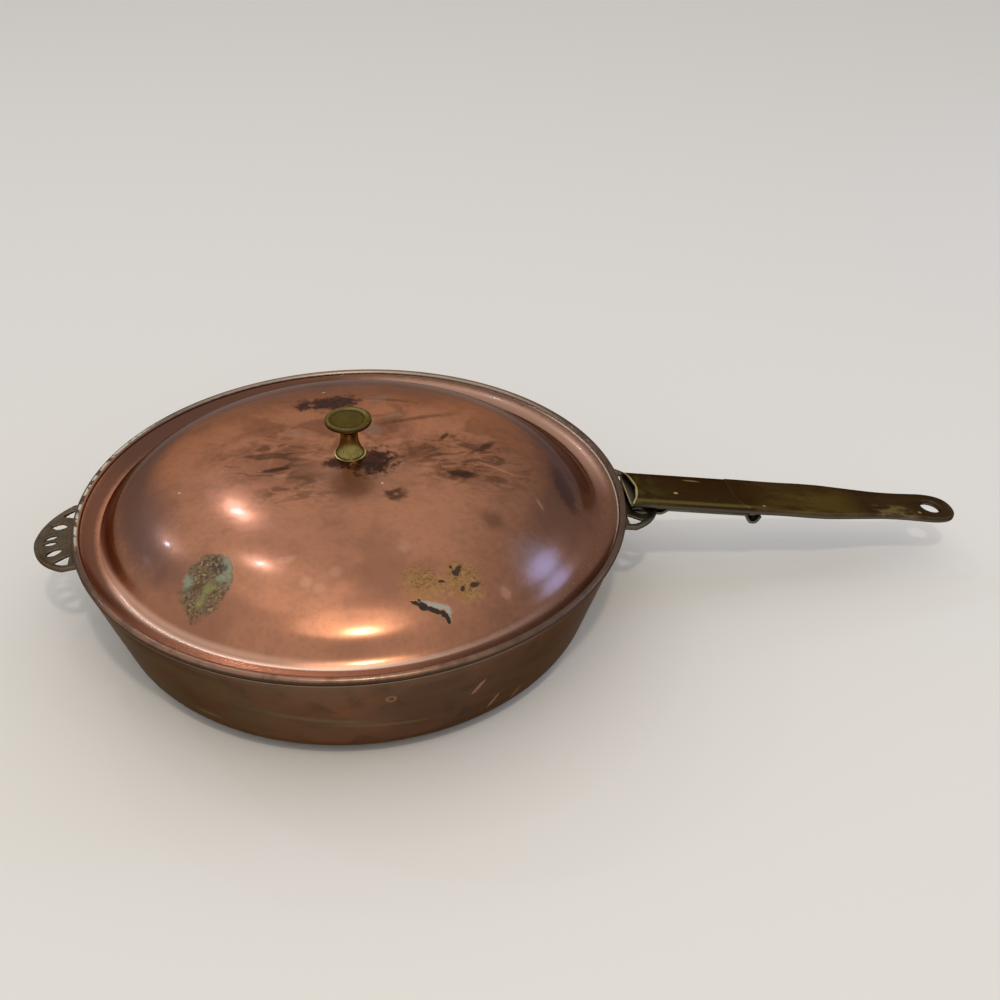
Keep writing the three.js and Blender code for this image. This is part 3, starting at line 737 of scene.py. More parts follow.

# The rolled edge: browned, with painted shade underneath and at the sides, and slivers of tin in its crease
LID_EDGE_WEAR_AND_SHADE = (
    Coat("#8a6a58", Ring(148.0, 158, 1.2, fray=0.8), 0.85, 0.32, 0.95),
    Coat("#40352b", Clouds(9, 0.46, 0.66).within(Ring(148.4, 156, 1.0)), 0.50, 0.42, 0.9),
    # Painted shade: the underside of the rolled edge
    Coat("#33271e", Ring(149.5, 158, 1.0).within(Slope(DOWN, -69.6, -68.8, fray=0.5)), 0.80, 0.45),
    # Painted shade: the rolled edge darker at the right and left sides
    Coat(
        "#3d342d",
        Ring(148.4, 156, 1.0).within(AnyOf((Slope(RIGHT, 60, 120), Slope(LEFT, 80, 130)))),
        0.70, 0.40,
    ),
    Coat(
        "#cfcdb8",
        Clouds(13.0, 0.47, 0.53, detail=4, offset=2.2).within(
            Ring(148.5, 150.7, 0.7, fray=0.3), Slope((-0.97, 0.24, 0), 128, 143),
        ),
        0.85, 0.5, 0.4, 0.08,
    ),
    Coat(
        "#d0c8b8",
        Ring(147.9, 149.1, 0.5, fray=0.9).within(Slope((0.99, 0.1, 0), 118, 136, fray=14)),
        0.75, 0.36, 0.7,
    ),
    Coat(
        "#a9a294",
        Ring(148.0, 150.0, 0.8, fray=1.2).within(Slope((0.1, 0.99, 0), 70, 120, fray=20)),
        0.6, 0.40, 0.8,
    ),
)

# Polished copper sheet, raised by hand, browned with age and thinly waxed: a warm, soft mirror under brown
# clouds and stains. Some of its paler and darker coats stand for light that lies on it in the photograph.
LID_COPPER = AgedMetal(
    name="copper_sheet_polished_aged",
    colour="#b77d5f",
    roughness=0.20,
    grain=(1.4, 0.006),
    waves=(38.0, 0.10),
    glance="#ac978d",
    film=0.20,
    coats=(*LID_TARNISH_AND_SHADE, *LID_BURNS, *LID_MARKS_AND_PAINTED_LIGHT, *LID_TROUGH_PAINTED_LIGHT_AND_SPECKS, *LID_GREEN_SPOT, *LID_OCHRE_SPOT, *LID_EDGE_WEAR_AND_SHADE),
)

# The tin wiped over the inside of pan and lid: grey-white, softly mottled, darker where it is worn.
TIN_LINING = AgedMetal(
    name="tin_lining_wiped",
    colour="#b9b4a9",
    roughness=0.36,
    grain=(1.6, 0.01),
    waves=(22.0, 0.06),
    glance="#d8d4cc",
    coats=(
        Coat("#8a8376", Clouds(42, 0.44, 0.66, detail=4), 0.7, 0.46),
        Coat("#6f675b", Clouds(9, 0.50, 0.70, twist=0.5), 0.55, 0.5),
        Coat("#a07a5e", Clouds(24, 0.60, 0.74, offset=6.0), 0.5, 0.4),
        Coat("#d8d4c7", Hair(34, 0.5, 30, 0.70), 0.35),
        Coat("#5b554c", Pits(6.5, 0.12), 0.5, 0.6),
    ),
)

# Copper sheet of the pan's outside, never polished: dark brown, with painted shade at the sides, a grey-green
# painted sheen at the front left and pale scrapes.
PAN_COPPER = AgedMetal(
    name="copper_sheet_browned",
    colour="#87624f",
    roughness=0.34,
    grain=(1.2, 0.008),
    waves=(34.0, 0.08),
    glance="#aa9f95",
    coats=(
        Coat("#635045", Clouds(52, 0.40, 0.66, detail=4), 0.65, 0.38),
        Coat("#50433b", Clouds(13, 0.50, 0.72, twist=0.5), 0.45, 0.42),
        # Painted shade: the wall darker at the right and at the left front
        Coat(
            "#5e534b",
            AnyOf((Slope((0.98, -0.2, 0), 20, 110, fray=20), Slope((-0.95, -0.3, 0), 60, 130, fray=20))),
            0.60, 0.38,
        ),
        # Painted sheen: grey-green clouds at the front left
        Coat(
            "#736b56",
            Clouds(30, 0.42, 0.62, stretch=(1.6, 1.6, 0.5)).within(Slope((-0.8, -0.6, 0), 60, 130)),
            0.55, 0.36,
        ),
        Coat("#7a6552", Clouds(60, 0.46, 0.60, stretch=(1.0, 1.0, 0.14), offset=4.0), 0.40),
        Coat("#a07a62", Hair(30, 0.5, 0, 0.72), 0.25),
        Coat("#b9927b", Patch((55, -134, 41), (1.3, 4, 7.0), turn=22, tilt=30, fray=1.6), 0.85, 0.34),
        Coat("#b9927b", Patch((64, -122, 21), (1.1, 4, 6), turn=28, tilt=30, fray=1.6), 0.85, 0.34),
        Coat("#b88c72", Patch((77, -113, 17), (0.9, 4, 6), turn=34, tilt=34, fray=1.2), 0.85, 0.32),
        Coat(
            "#a88468",
            Patch((11, -147, 51), (2.6, 6, 2.6), fray=0.5).without(
                Patch((11, -147, 51), (1.5, 6, 1.5), fray=0.5)
            ),
            0.85, 0.36,
        ),
        Coat("#9d8672", Patch((-81, -111, 20), (9, 6, 1.4), turn=-36, fray=1.4), 0.5, 0.36),
        Coat(
            "#87825f",
            AnyOf(
                (
                    Patch((-26, -138, 35), (30, 9, 1.6), turn=-12, tilt=7, fray=1.0, soft=0.6),
                    Patch((6, -139, 28), (26, 9, 1.2), turn=2, tilt=5, fray=1.0, soft=0.6),
                )
            ),
            0.45, 0.34,
        ),
        Coat("#463831", Slope(DOWN, -10, -1, fray=6), 0.75, 0.46),
        Coat("#a8937c", Slope(UP, 65.0, 65.6), 0.75, 0.3),
    ),
)

# Cast brass of the lugs, left as cast: grey-brown with greenish tarnish and a few paler, rubbed places.
LUG_BRASS = AgedMetal(
    name="brass_cast_tarnished",
    colour="#64574a",
    roughness=0.42,
    grain=(0.9, 0.03),
    waves=(7.0, 0.06),
    glance="#a09a8c",
    tear=2.5,
    coats=(
        Coat("#4b4234", Clouds(9, 0.42, 0.64), 0.6, 0.46),
        Coat("#565b48", Clouds(5, 0.44, 0.62, offset=2.0).within(Slope((1, 0, 0), 0, 100)), 0.8, 0.5, 0.8),
        Coat("#54503f", Clouds(5, 0.50, 0.66, offset=2.0), 0.4, 0.5, 0.9),
        Coat("#2c251b", Clouds(2.4, 0.56, 0.70, offset=5.0), 0.6, 0.55, 0.8),
        Coat("#8c7e68", Clouds(1.6, 0.60, 0.72, offset=7.0), 0.4, 0.36),
    ),
)

# Brass of the handle, browned by hands and heat: brown at the socket, olive yellow where it is rubbed, with
# painted highlights along its near edge, its lower sides and the lips of its mouth.
HANDLE_BRASS = AgedMetal(
    name="brass_handle_browned",
    colour="#54452e",
    roughness=0.38,
    grain=(0.9, 0.015),
    waves=(14.0, 0.05),
    origin=(156.0, 0.0, 58.7),
    droop=9.0,
    glance="#a0968a",
    tear=5.0,
    coats=(
        Coat("#3d3020", Clouds(24, 0.40, 0.62, detail=5, stretch=(1.8, 1.0, 1.0)), 0.7, 0.42),
        Coat("#3f3020", Slope((1, 0, 0), 84, 64, fray=8), 0.85, 0.40),
        Coat("#3e342a", Slope((1, 0, 0), 132, 150, fray=22), 0.6, 0.42),
        Coat(
            "#5f5233",
            Clouds(16, 0.40, 0.58, stretch=(2.2, 0.8, 1), offset=4.4).within(
                Slope((1, 0, 0), 80, 94, fray=10),
                Slope((1, 0, 0), 152, 124, fray=20),
            ),
            0.75, 0.34,
        ),
        Coat(
            "#83714e",
            Clouds(9, 0.44, 0.60, stretch=(1.6, 0.8, 1), offset=7.4).within(
                Slope((0, -1, 0), 0, 5, fray=4), Slope((1, 0, 0), 148, 156, fray=8),
                Slope((1, 0, 0), 182, 170, fray=8),
            ),
            0.7, 0.34,
        ),
        Coat("#504b2e", Clouds(7, 0.44, 0.60, offset=1.2).within(Slope((1, 0, 0), 34, 6, fray=10)), 0.7, 0.4),
        Coat("#3c3125", Slope((0, 1, 0), 3, 13, fray=6), 0.45),
        Coat("#2e2418", Clouds(4, 0.56, 0.72, offset=9.0), 0.5, 0.46),
        Coat("#736240", Clouds(2.2, 0.62, 0.74, offset=3.0), 0.35, 0.36),
        # Painted highlight: a lighter band along the near edge of the top
        Coat(
            "#70643a",
            Slope((0, -1, 0), 11.5, 13, fray=1.5).within(Slope((1, 0, 0), 100, 60, fray=20)).without(
                Slope((0, -1, 0), 14.6, 15.2)
            ),
            0.6, 0.36,
        ),
        Coat("#9a8760", Patch((41, 10, 7), (4.6, 0.7, 4), turn=-4, fray=1.0), 0.7, 0.35),
        Coat("#b5a47c", Patch((28, -4.6, 7), (1.2, 0.9, 4), fray=0.8), 0.9, 0.4),
        Coat("#150e08", Pits(2.2, 0.24).within(Patch((28, -3, 7), (6, 5, 4), fray=0.6)), 0.7, 0.5),
        Coat(
            "#a8966c",
            AnyOf(
                (Patch((80, -12, 7), (1.1, 0.7, 4), fray=0.8), Patch((180, -8, 7), (1.1, 0.9, 4), fray=0.8))
            ),
            0.8, 0.4,
        ),
        # Painted sheen: the lower sides lighter grey
        Coat("#605a50", Slope(DOWN, -6.4, -5.2), 0.8, 0.42),
        # Painted highlight: the bright upper and lower lips of the mouth
        Coat(
            "#b8aa7e",
            Patch((-25.5, 0, 0), (30.9, 30.9, ENDLESS), fray=0.02, soft=0.006).within(Slope(UP, 5.4, 6.2)),
            0.85, 0.32,
        ),
        Coat("#b8aa7e", Slope((-1, 0, 0), -0.5, 0.1), 0.8, 0.32),
        Coat("#504e45", Slope((1, 0, 0), 199, 204, fray=2), 0.6, 0.34),
    ),
)

# Turned brass of the knob, handled for years: olive brown and pitted on top, bright where fingers grip it,
# with a painted highlight round its foot.
KNOB_BRASS = AgedMetal(
    name="brass_knob_turned",
    colour="#92814c",
    roughness=0.22,
    grain=(0.7, 0.02),
    waves=(5.0, 0.02),
    glance="#c0b490",
    tear=1.5,
    coats=(
        Coat("#695b38", Clouds(6, 0.42, 0.64), 0.6, 0.30),
        Coat("#50452f", Slope(UP, 117.5, 120), 0.85, 0.38),
        Coat("#3b321f", Ring(8.2, 9.6, 0.5, fray=0.6).within(Slope(UP, 119, 120)), 0.60),
        Coat("#857549", Ring(9.8, 11.6, 0.6, fray=0.8).within(Slope(UP, 119, 120)), 0.55, 0.30),
        Coat("#3f341c", Clouds(1.4, 0.56, 0.70, offset=4.0), 0.5, 0.45),
        Coat("#2c2414", Pits(1.5, 0.24).within(Slope(UP, 120, 121)), 0.7, 0.5, None, -0.06),
        Coat("#6f6140", Clouds(1.8, 0.56, 0.66, offset=2.4).within(Slope(UP, 120, 121)), 0.6, 0.4),
        # Painted highlight: a pale band round the knob's foot and collar
        Coat("#e0cf98", Slope(DOWN, -101.2, -100.4), 0.6, 0.22),
    ),
)

# Copper rivets, struck with a hammer: faceted dull heads with dark rims.
RIVET_COPPER = AgedMetal(
    name="copper_rivet_hammered",
    colour="#8a5a44",
    roughness=0.38,
    grain=(0.7, 0.02),
    waves=(2.2, 0.06),
    coats=(
        Coat("#4f3326", Clouds(4, 0.42, 0.62), 0.7, 0.46),
        Coat("#33231a", Clouds(1.3, 0.55, 0.70, offset=3.0), 0.5, 0.5),
    ),
)

# Drawn iron wire inside the lid's edge: dark grey with rust freckles.
RIM_IRON = AgedMetal(
    name="iron_wire_drawn",
    colour="#6f6a63",
    roughness=0.5,
    grain=(0.5, 0.02),
    waves=(4.0, 0.02),
    coats=(
        Coat("#6d432a", Clouds(3, 0.46, 0.60), 0.8, 0.75, 0.2),
        Coat("#3b3027", Clouds(1.2, 0.52, 0.66, offset=2.0), 0.6, 0.7, 0.4),
    ),
)

# Rolled spring strip under the handle: dull grey green, with brown stains and a paler worn fold.
STRAP_STEEL = AgedMetal(
    name="spring_strip_rolled",
    colour="#656a5f",
    roughness=0.42,
    grain=(0.6, 0.012),
    waves=(9.0, 0.03),
    coats=(
        Coat("#454a3e", Clouds(10, 0.42, 0.62), 0.7, 0.48),
        Coat("#4b3a28", Clouds(5, 0.52, 0.68, offset=5.0), 0.6, 0.6, 0.6),
        Coat("#8c8f80", Hair(12, 0.4, 0, 0.68), 0.4),
    ),
)


# ---------------------------------------------------------------------------------------------
# Mesh helpers


def held(value: float) -> float:
    """Returns the value, held between 0 and 1."""
    return min(max(value, 0), 1)


def eased(value: float) -> float:
    """Returns the value, held between 0 and 1 and eased in at both ends."""
    return held(value) ** 2 * (3 - 2 * held(value))


def softened(points: Sequence[Point], rounds: int) -> list[Point]:
    """Cuts the corners of an open line again and again, so that it curves.

    Args:
        points: the line's points.
        rounds: how many times the corners are cut.

    Returns:
        The softer line, with the same ends.
    """
    line = [tuple(point) for point in points]
    for _ in range(rounds):
        cut = [line[0]]
        for (ax, ay), (bx, by) in zip(line, line[1:]):
            for near, far in ((0.75, 0.25), (0.25, 0.75)):
                cut.append((ax * near + bx * far, ay * near + by * far))
        line = [*cut, line[-1]]
    return line


def arc(centre: Point, radius: float, start: float, end: float, steps: int) -> list[Point]:
    """Points on a circle's arc.

    Args:
        centre: the circle's middle.
        radius: its radius.
        start: the first angle, in degrees.
        end: the last angle, in degrees.
        steps: the number of steps between them.

    Returns:
        The points, first to last.
    """
    turns = [math.radians(start + (end - start) * i / steps) for i in range(steps + 1)]
    return [(centre[0] + radius * math.cos(t), centre[1] + radius * math.sin(t)) for t in turns]


def circle(centre: Point, radius: float, sides: int) -> list[Point]:
    """Returns the corners of a circle drawn with that many sides."""
    return arc(centre, radius, 0, 360 * (sides - 1) / sides, sides - 1)


def curve(start: Point, pull: Point, end: Point, steps: int) -> list[Point]:
    """Points on a curve from one place to another, drawn towards a third.

    Args:
        start: where it starts.
        pull: the point it is drawn towards.
        end: where it ends.
        steps: the number of steps.

    Returns:
        The points, the last one left out so that pieces of outline chain up.
    """
    made = []
    for t in (i / steps for i in range(steps)):
        weights = ((1 - t) ** 2, 2 * t * (1 - t), t * t)
        made.append(tuple(sum(w * at for w, at in zip(weights, place)) for place in zip(start, pull, end)))
    return made


def spun(profile: Sequence[Point], steps: int, ring: bool = False) -> Shape:
    """Turns a profile round the upright axis.

    Args:
        profile: radius and height of each point.
        steps: the number of steps in the full turn.
        ring: whether the profile closes on itself.

    Returns:
        The closed shape.
    """
    shape = bmesh.new()
    points = [shape.verts.new((r * MM, 0, z * MM)) for r, z in profile]
    pairs = list(zip(points, points[1:])) + ([(points[-1], points[0])] if ring else [])
    edges = [shape.edges.new(pair) for pair in pairs]
    about = {"cent": (0, 0, 0), "axis": UP, "angle": 2 * math.pi}
    bmesh.ops.spin(shape, geom=points + edges, **about, steps=steps, use_merge=True)
    bmesh.ops.remove_doubles(shape, verts=shape.verts, dist=TURNED_MERGE)
    bmesh.ops.recalc_face_normals(shape, faces=shape.faces)
    return shape


def plate(
    outline: Sequence[Point], holes: Sequence[Sequence[Point]], low: float, high: float, edge: float,
) -> Shape:
    """Cuts a plate to an outline, with holes and rounded edges.

    Args:
        outline: the outer outline, seen from above.
        holes: the outlines of the holes.
        low: the height of the lower face.
        high: the height of the upper face.
        edge: the radius of the rounded edges.

    Returns:
        The plate.
    """
    drawing = bpy.data.curves.new("outline", "CURVE")
    drawing.dimensions = "2D"
    drawing.fill_mode = "BOTH"
    drawing.extrude = ((high - low) / 2 - edge) * MM
    drawing.bevel_depth = edge * MM
    drawing.bevel_resolution = 2
    drawing.offset = -edge * MM
    for line in [outline, *holes]:
        spline = drawing.splines.new("POLY")
        spline.points.add(len(line) - 1)
        for point, (x, y) in zip(spline.points, line):
            point.co = (x * MM, y * MM, 0, 1)
        spline.use_cyclic_u = True
    holder = bpy.data.objects.new("outline", drawing)
    bpy.context.scene.collection.objects.link(holder)
    bpy.context.view_layer.update()
    mesh = bpy.data.meshes.new_from_object(holder)
    shape = bmesh.new()
    shape.from_mesh(mesh)
    bmesh.ops.remove_doubles(shape, verts=shape.verts, dist=CUT_MERGE)
    bmesh.ops.recalc_face_normals(shape, faces=shape.faces)
    bmesh.ops.translate(shape, verts=shape.verts, vec=(0, 0, (low + high) / 2 * MM))
    bpy.data.objects.remove(holder)
    bpy.data.curves.remove(drawing)
    bpy.data.meshes.remove(mesh)
    return shape


def moved(shape: Shape, along: float) -> Shape:
    """Moves a shape along the X axis and returns it."""
    bmesh.ops.translate(shape, verts=shape.verts, vec=(along * MM, 0, 0))
    return shape


def joined(shapes: Sequence[Shape]) -> Shape:
    """Puts several shapes into one.

    Args:
        shapes: the shapes, which are used up.

    Returns:
        The shape that holds them all.
    """
    whole = bmesh.new()
    for shape in shapes:
        mesh = bpy.data.meshes.new("part")
        shape.to_mesh(mesh)
        whole.from_mesh(mesh)
        shape.free()
        bpy.data.meshes.remove(mesh)
    return whole


def cast(shape: Shape, grit: float, rounds: int) -> Shape:
    """Fuses overlapping solids into one skin with the soft edges of a casting.

    Args:
        shape: the solids, which are used up.
        grit: the spacing of the new skin.
        rounds: how many times it is smoothed.

    Returns:
        The fused shape.
    """
    mesh = bpy.data.meshes.new("rough")
    shape.to_mesh(mesh)
    shape.free()
    holder = bpy.data.objects.new("rough", mesh)
    bpy.context.scene.collection.objects.link(holder)
    skin = holder.modifiers.new("skin", "REMESH")
    skin.mode = "VOXEL"
    skin.voxel_size = grit * MM
    soft = holder.modifiers.new("soft", "SMOOTH")
    soft.factor = 0.5
    soft.iterations = rounds
    bpy.context.view_layer.update()
    done = bpy.data.meshes.new_from_object(holder.evaluated_get(bpy.context.evaluated_depsgraph_get()))
    made = bmesh.new()
    made.from_mesh(done)
    bpy.data.objects.remove(holder)
    bpy.data.meshes.remove(mesh)
    bpy.data.meshes.remove(done)
    return made


def place_piece(
    name: str, shape: Shape, materials: Sequence[Material], body: Body, node: str, crease: float = 40.0,
) -> bpy.types.Object:
    """Makes a finished piece of a shape and hands it to the frame.

    Args:
        name: the piece's name.
        shape: its shape, which is used up.
        materials: its materials, in the order of its faces' numbers.
        body: the body it moves with.
        node: the CAD node it stands for.
        crease: the angle, in degrees, above which an edge looks sharp.

    Returns:
        The piece.
    """
    mesh = bpy.data.meshes.new(name)
    shape.to_mesh(mesh)
    shape.free()
    mesh.shade_smooth()
    mesh.set_sharp_from_angle(angle=math.radians(crease))
    for material in materials:
        mesh.materials.append(material)
    piece = bpy.data.objects.new(name, mesh)
    bpy.context.scene.collection.objects.link(piece)
    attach(piece, body.value)
    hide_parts(node)
    LOG.info("%s: %d faces, rides on %s", name, len(mesh.polygons), body.value)
    return piece


# ---------------------------------------------------------------------------------------------
# The pan


@dataclass
class Pan:
    """The pan body: one raised sheet with a round corner and a thicker tinned edge."""

    height: float = 66.0
    top_radius: float = 151.2
    flare: float = 21.8
    corner: float = 23.0
    corner_steps: int = 18
    wall: float = 1.6
    wall_rows: tuple[float, ...] = (30.0, 40.0, 50.0, 60.0)
    lining_rows: tuple[float, ...] = (52.0, 40.0, 30.0)
    lip: float = 2.2
    lip_height: float = 3.5
    lip_soft: float = 0.6
    lip_start: float = 0.5
    lip_side: float = 0.1
    lip_drop: float = 0.12
    facing_in: float = -0.05
    facing_up: float = 0.3
    steps: int = 256

    @property
    def lean(self) -> float:
        """The wall's lean, in radians."""
        return math.atan(self.flare / self.height)

    def radius_at(self, height: float) -> float:
        """Returns the wall's outer radius at a height."""
        return self.top_radius - self.flare + self.flare * height / self.height

    def inside_at(self, thickness: float, height: float) -> float:
        """Returns the inner face's radius at a height where the wall has that thickness."""
        return self.radius_at(height) - thickness / math.cos(self.lean)

    def section(self) -> list[Point]:
        """Draws the wall in section.

        Returns:
            Radius and height of each point, from the base's middle out, up and back inside.
        """
        turn = 90 - math.degrees(self.lean)
        middle = self.radius_at(0) - self.corner * math.tan(math.radians(turn) / 2)
        bottoms = []
        for level in (0.0, self.wall):
            bend = arc((middle, self.corner), self.corner - level, -90, -90 + turn, self.corner_steps)
            bottoms.append([(0.0, level), (middle * 0.5, level), *bend])
        outer, inner = bottoms
        outer += [(self.radius_at(height), height) for height in self.wall_rows]
        top, first, soft = self.height, self.height - self.lip_start, self.height - self.lip_soft
        side, drop, back = self.lip_side, top - self.lip_drop, self.inside_at(self.lip, top)
        edge = [(self.radius_at(first), first), (self.top_radius - side, drop)]
        edge += [(self.top_radius - self.lip_soft, top), (back + self.lip_soft, top), (back + side, drop)]
        full, start = self.height - self.lip, self.height - self.lip_height
        edge += [(self.inside_at(self.lip, height), height) for height in (soft, full)]
        edge += [(self.inside_at(self.wall, height), height) for height in (start, *self.lining_rows)]
        return outer + edge + inner[::-1]

    def build(self, outside: Material, lining: Material) -> None:
        """Spins the pan and gives its two faces their finishes.

        Args:
            outside: the finish of the outer face.
            lining: the finish of the inner face.
        """
        shape = spun(self.section(), self.steps)
        for face in shape.faces:
            middle = face.calc_center_median()
            outwards = Vector((middle.x, middle.y, 0)).normalized()
            inner = face.normal.dot(outwards) < self.facing_in or face.normal.z > self.facing_up
            face.material_index = int(inner)
        place_piece("pan_sheet", shape, [outside, lining], Body.PAN, "pan_body", 50)


@dataclass
class Lug:
    """A cast lug: a drooping tab with a raised border and piercings, on a palm that hugs the wall.

    Each leaf has its middle outwards and across, its length, its width and its turn in degrees.
    """

    pan: Pan
    side: Side
    node: str
    droop: float = 9.0
    below_edge: float = 7.3
    stand_off: float = 4.8
    reach: float = 19.5
    half_width: float = 30.8
    shoulder: float = 0.6
    tip_pull: float = 0.93
    side_pull: float = 0.66
    outline_steps: int = 24
    root_share: float = 0.55
    leaves: tuple[tuple[float, ...], ...] = ((10.2, 2.8, 8.6, 3.6, -6.0), (6.8, 12.4, 10.0, 5.6, 20.0))
    leaf_steps: int = 10
    wedge_clear: float = 2.2
    wedge_near: float = 17.4
    wedge_far: float = 26.4
    wedge_length: float = 8.4
    wedge_steps: int = 8
    plate: float = 1.6
    tab_edge: float = 0.3
    border_width: float = 2.6
    border_rise: float = 0.6
    border_depth: float = 0.3
    border_edge: float = 0.5
    palm_thickness: float = 2.4
    palm_above: float = 3.0
    palm_below: float = 17.0
    palm_half_width: float = 27.0
    palm_corner: float = 9.0
    palm_columns: int = 64
    palm_rows: int = 28
    corner_cut: int = 10
    seat_gap: float = 0.3
    grit: float = 0.4
    smoothing: int = 3

    @property
    def level(self) -> float:
        """The height of the tab's root."""
        return self.pan.height - self.below_edge

    @property
    def place(self) -> Matrix:
        """Where the tab's own drooping frame lies, on the right-hand side."""
        anchor = Matrix.Translation(Vector((self.pan.top_radius + self.stand_off, 0, self.level)) * MM)
        return anchor @ Matrix.Rotation(math.radians(self.droop), 4, "Y")

    def outline(self, inset: float) -> list[Point]:
        """Draws the tab from above, in its own frame.

        Args:
            inset: how far the outline is drawn in from the edge.

        Returns:
            The outline's points.
        """
        half, tip, steps = self.half_width - inset, self.reach - inset, self.outline_steps
        anchor = self.pan.top_radius + self.stand_off
        root = self.pan.radius_at(self.level) + self.seat_gap + self.palm_thickness * self.root_share
        low, point, high = (self.shoulder, -half), (tip, 0.0), (self.shoulder, half)
        front = curve(low, (tip * self.tip_pull, -half * self.side_pull), point, steps)
        front += [*curve(point, (tip * self.tip_pull, half * self.side_pull), high, steps), high]
        across = [half * (1 - 2 * i / steps) for i in range(steps + 1)]
        return front + [(math.sqrt(root**2 - y**2) - anchor + inset, y) for y in across]

    def leaf(self, x: float, y: float, length: float, width: float, slant: float) -> list[Point]:
        """Draws a pointed leaf hole.

        Args:
            x: its middle, outwards.
            y: its middle, across.
            length: its length.
            width: twice its greatest width.
            slant: its turn, in degrees.

        Returns:
            The hole's outline.
        """
        near, far = (-length / 2, 0.0), (length / 2, 0.0)
        points = curve(near, (0.0, -width), far, self.leaf_steps)
        points += curve(far, (0.0, width), near, self.leaf_steps)
        c, s = math.cos(math.radians(slant)), math.sin(math.radians(slant))
        return [(x + c * u - s * v, y + s * u + c * v) for u, v in points]

    def holes(self) -> list[list[Point]]:
        """Draws the piercings: a pair of slots, two leaves and two wedges.

        Returns:
            The outlines of the holes.
        """
        made = []
        face = self.pan.radius_at(self.level) + self.seat_gap + self.palm_thickness
        start = face - self.pan.top_radius - self.stand_off + self.wedge_clear
        for side in (-1, 1):
            for out, across, length, width, slant in self.leaves:
                made.append(self.leaf(out, side * across, length, width, side * slant))
            near, far = side * self.wedge_near, side * self.wedge_far
            point = (start + self.wedge_length, (near + far) / 2)
            bend = curve(point, ((start + point[0]) / 2, far), (start, far), self.wedge_steps)
            made.append([(start, near), *bend, (start, far)])
        return made

    def palm(self) -> Shape:
        """Shapes the palm from a flat sheet bent round the wall.

        Returns:
            The palm, in the pan's frame.
        """
        shape = bmesh.new()
        low, high = self.level - self.palm_below, self.level + self.palm_above
        half = self.palm_half_width
        bmesh.ops.create_grid(shape, x_segments=self.palm_columns, y_segments=self.palm_rows, size=0.5)
        bmesh.ops.scale(shape, verts=shape.verts, vec=(2 * half, high - low, 1))
        bmesh.ops.translate(shape, verts=shape.verts, vec=(0, (high + low) / 2, 0))
        for side in (-1, 1):
            corner = Vector((side * (half - self.palm_corner), low + self.palm_corner, 0))
            for angle in range(self.corner_cut // 2, 90, self.corner_cut):
                turn = math.radians(angle)
                out = Vector((side * math.sin(turn), -math.cos(turn), 0))
                edge = corner + out * self.palm_corner
                everything = [*shape.verts, *shape.edges, *shape.faces]
                bmesh.ops.bisect_plane(shape, geom=everything, plane_co=edge, plane_no=out, clear_outer=True)
        bmesh.ops.recalc_face_normals(shape, faces=shape.faces)
        bmesh.ops.solidify(shape, geom=shape.faces[:], thickness=1.0)
        heights = [vert.co.z for vert in shape.verts]
        bottom, depth = min(heights), max(heights) - min(heights)
        cosine = math.cos(self.pan.lean)
        for vert in shape.verts:
            across, height, share = vert.co.x, vert.co.y, (vert.co.z - bottom) / depth
            radius = self.pan.radius_at(height) + (self.seat_gap + share * self.palm_thickness) / cosine
            vert.co = Vector((math.sqrt(radius**2 - across**2), across, height)) * MM
        bmesh.ops.recalc_face_normals(shape, faces=shape.faces)
        return shape

    def build(self, metal: Material) -> None:
        """Casts the lug in one piece with its palm.

        Args:
            metal: its finish.
        """
        top = -self.border_rise
        low = top - self.plate - self.border_depth
        tab = plate(self.outline(self.tab_edge), self.holes(), top - self.plate, top, self.tab_edge)
        border = plate(self.outline(0), [self.outline(self.border_width)], low, 0, self.border_edge)
        for shape in (tab, border):
            bmesh.ops.transform(shape, matrix=self.place, verts=shape.verts)
        lug = cast(joined([tab, border, self.palm()]), self.grit, self.smoothing)
        turn = Matrix.Rotation(self.side.value, 3, "Z")
        bmesh.ops.rotate(lug, verts=lug.verts, cent=(0, 0, 0), matrix=turn)
        place_piece(f"{self.node}_cast", lug, [metal], Body.PAN, self.node, 180)


@dataclass
class LugRivets:
    """The three rivets that hold a lug: a domed head outside and a flatter one inside.

    The inner head is drawn by shares of its radius and of its height.
    """

    lug: Lug
    radius: float = 2.3
    head: float = 4.3
    dome: float = 2.0
    fullness: float = 0.9
    flat: float = 0.9
    flat_line: tuple[Point, ...] = ((1.0, 0.0), (0.97, 0.4), (0.8, 1.0), (0.0, 1.0))
    steps: int = 40
    spacing: float = 15.0
    drop: float = 9.5
    gap: float = 0.3

    def build(self, metal: Material) -> None:
        """Turns the rivets and stands them in the wall.

        Args:
            metal: their finish.
        """
        lug, pan = self.lug, self.lug.pan
        height = lug.level - self.drop
        wall = pan.radius_at(height)
        under, inside = lug.seat_gap + lug.palm_thickness + self.gap, -pan.wall - self.gap
        turns = [math.radians(angle) for angle in range(90, -1, -9)]
        profile = [(self.head * math.cos(t), under + self.dome * math.sin(t) ** self.fullness) for t in turns]
        profile += [(self.radius, under), (self.radius, inside)]
        profile += [(self.head * share, inside - self.flat * depth) for share, depth in self.flat_line]
        for number in range(3):
            shape = spun(profile, self.steps)
            angle = (number - 1) * self.spacing / wall + lug.side.value
            place = Matrix.Rotation(angle, 4, "Z") @ Matrix.Translation(Vector((wall, 0, height)) * MM)
            place @= Matrix.Rotation(math.pi / 2 + pan.lean, 4, "Y")
            bmesh.ops.transform(shape, matrix=place, verts=shape.verts)
            node = f"{lug.node}_rivet_{number + 1}"
            place_piece(f"{node}_struck", shape, [metal], Body.PAN, node, 50)


# ---------------------------------------------------------------------------------------------
# The lid


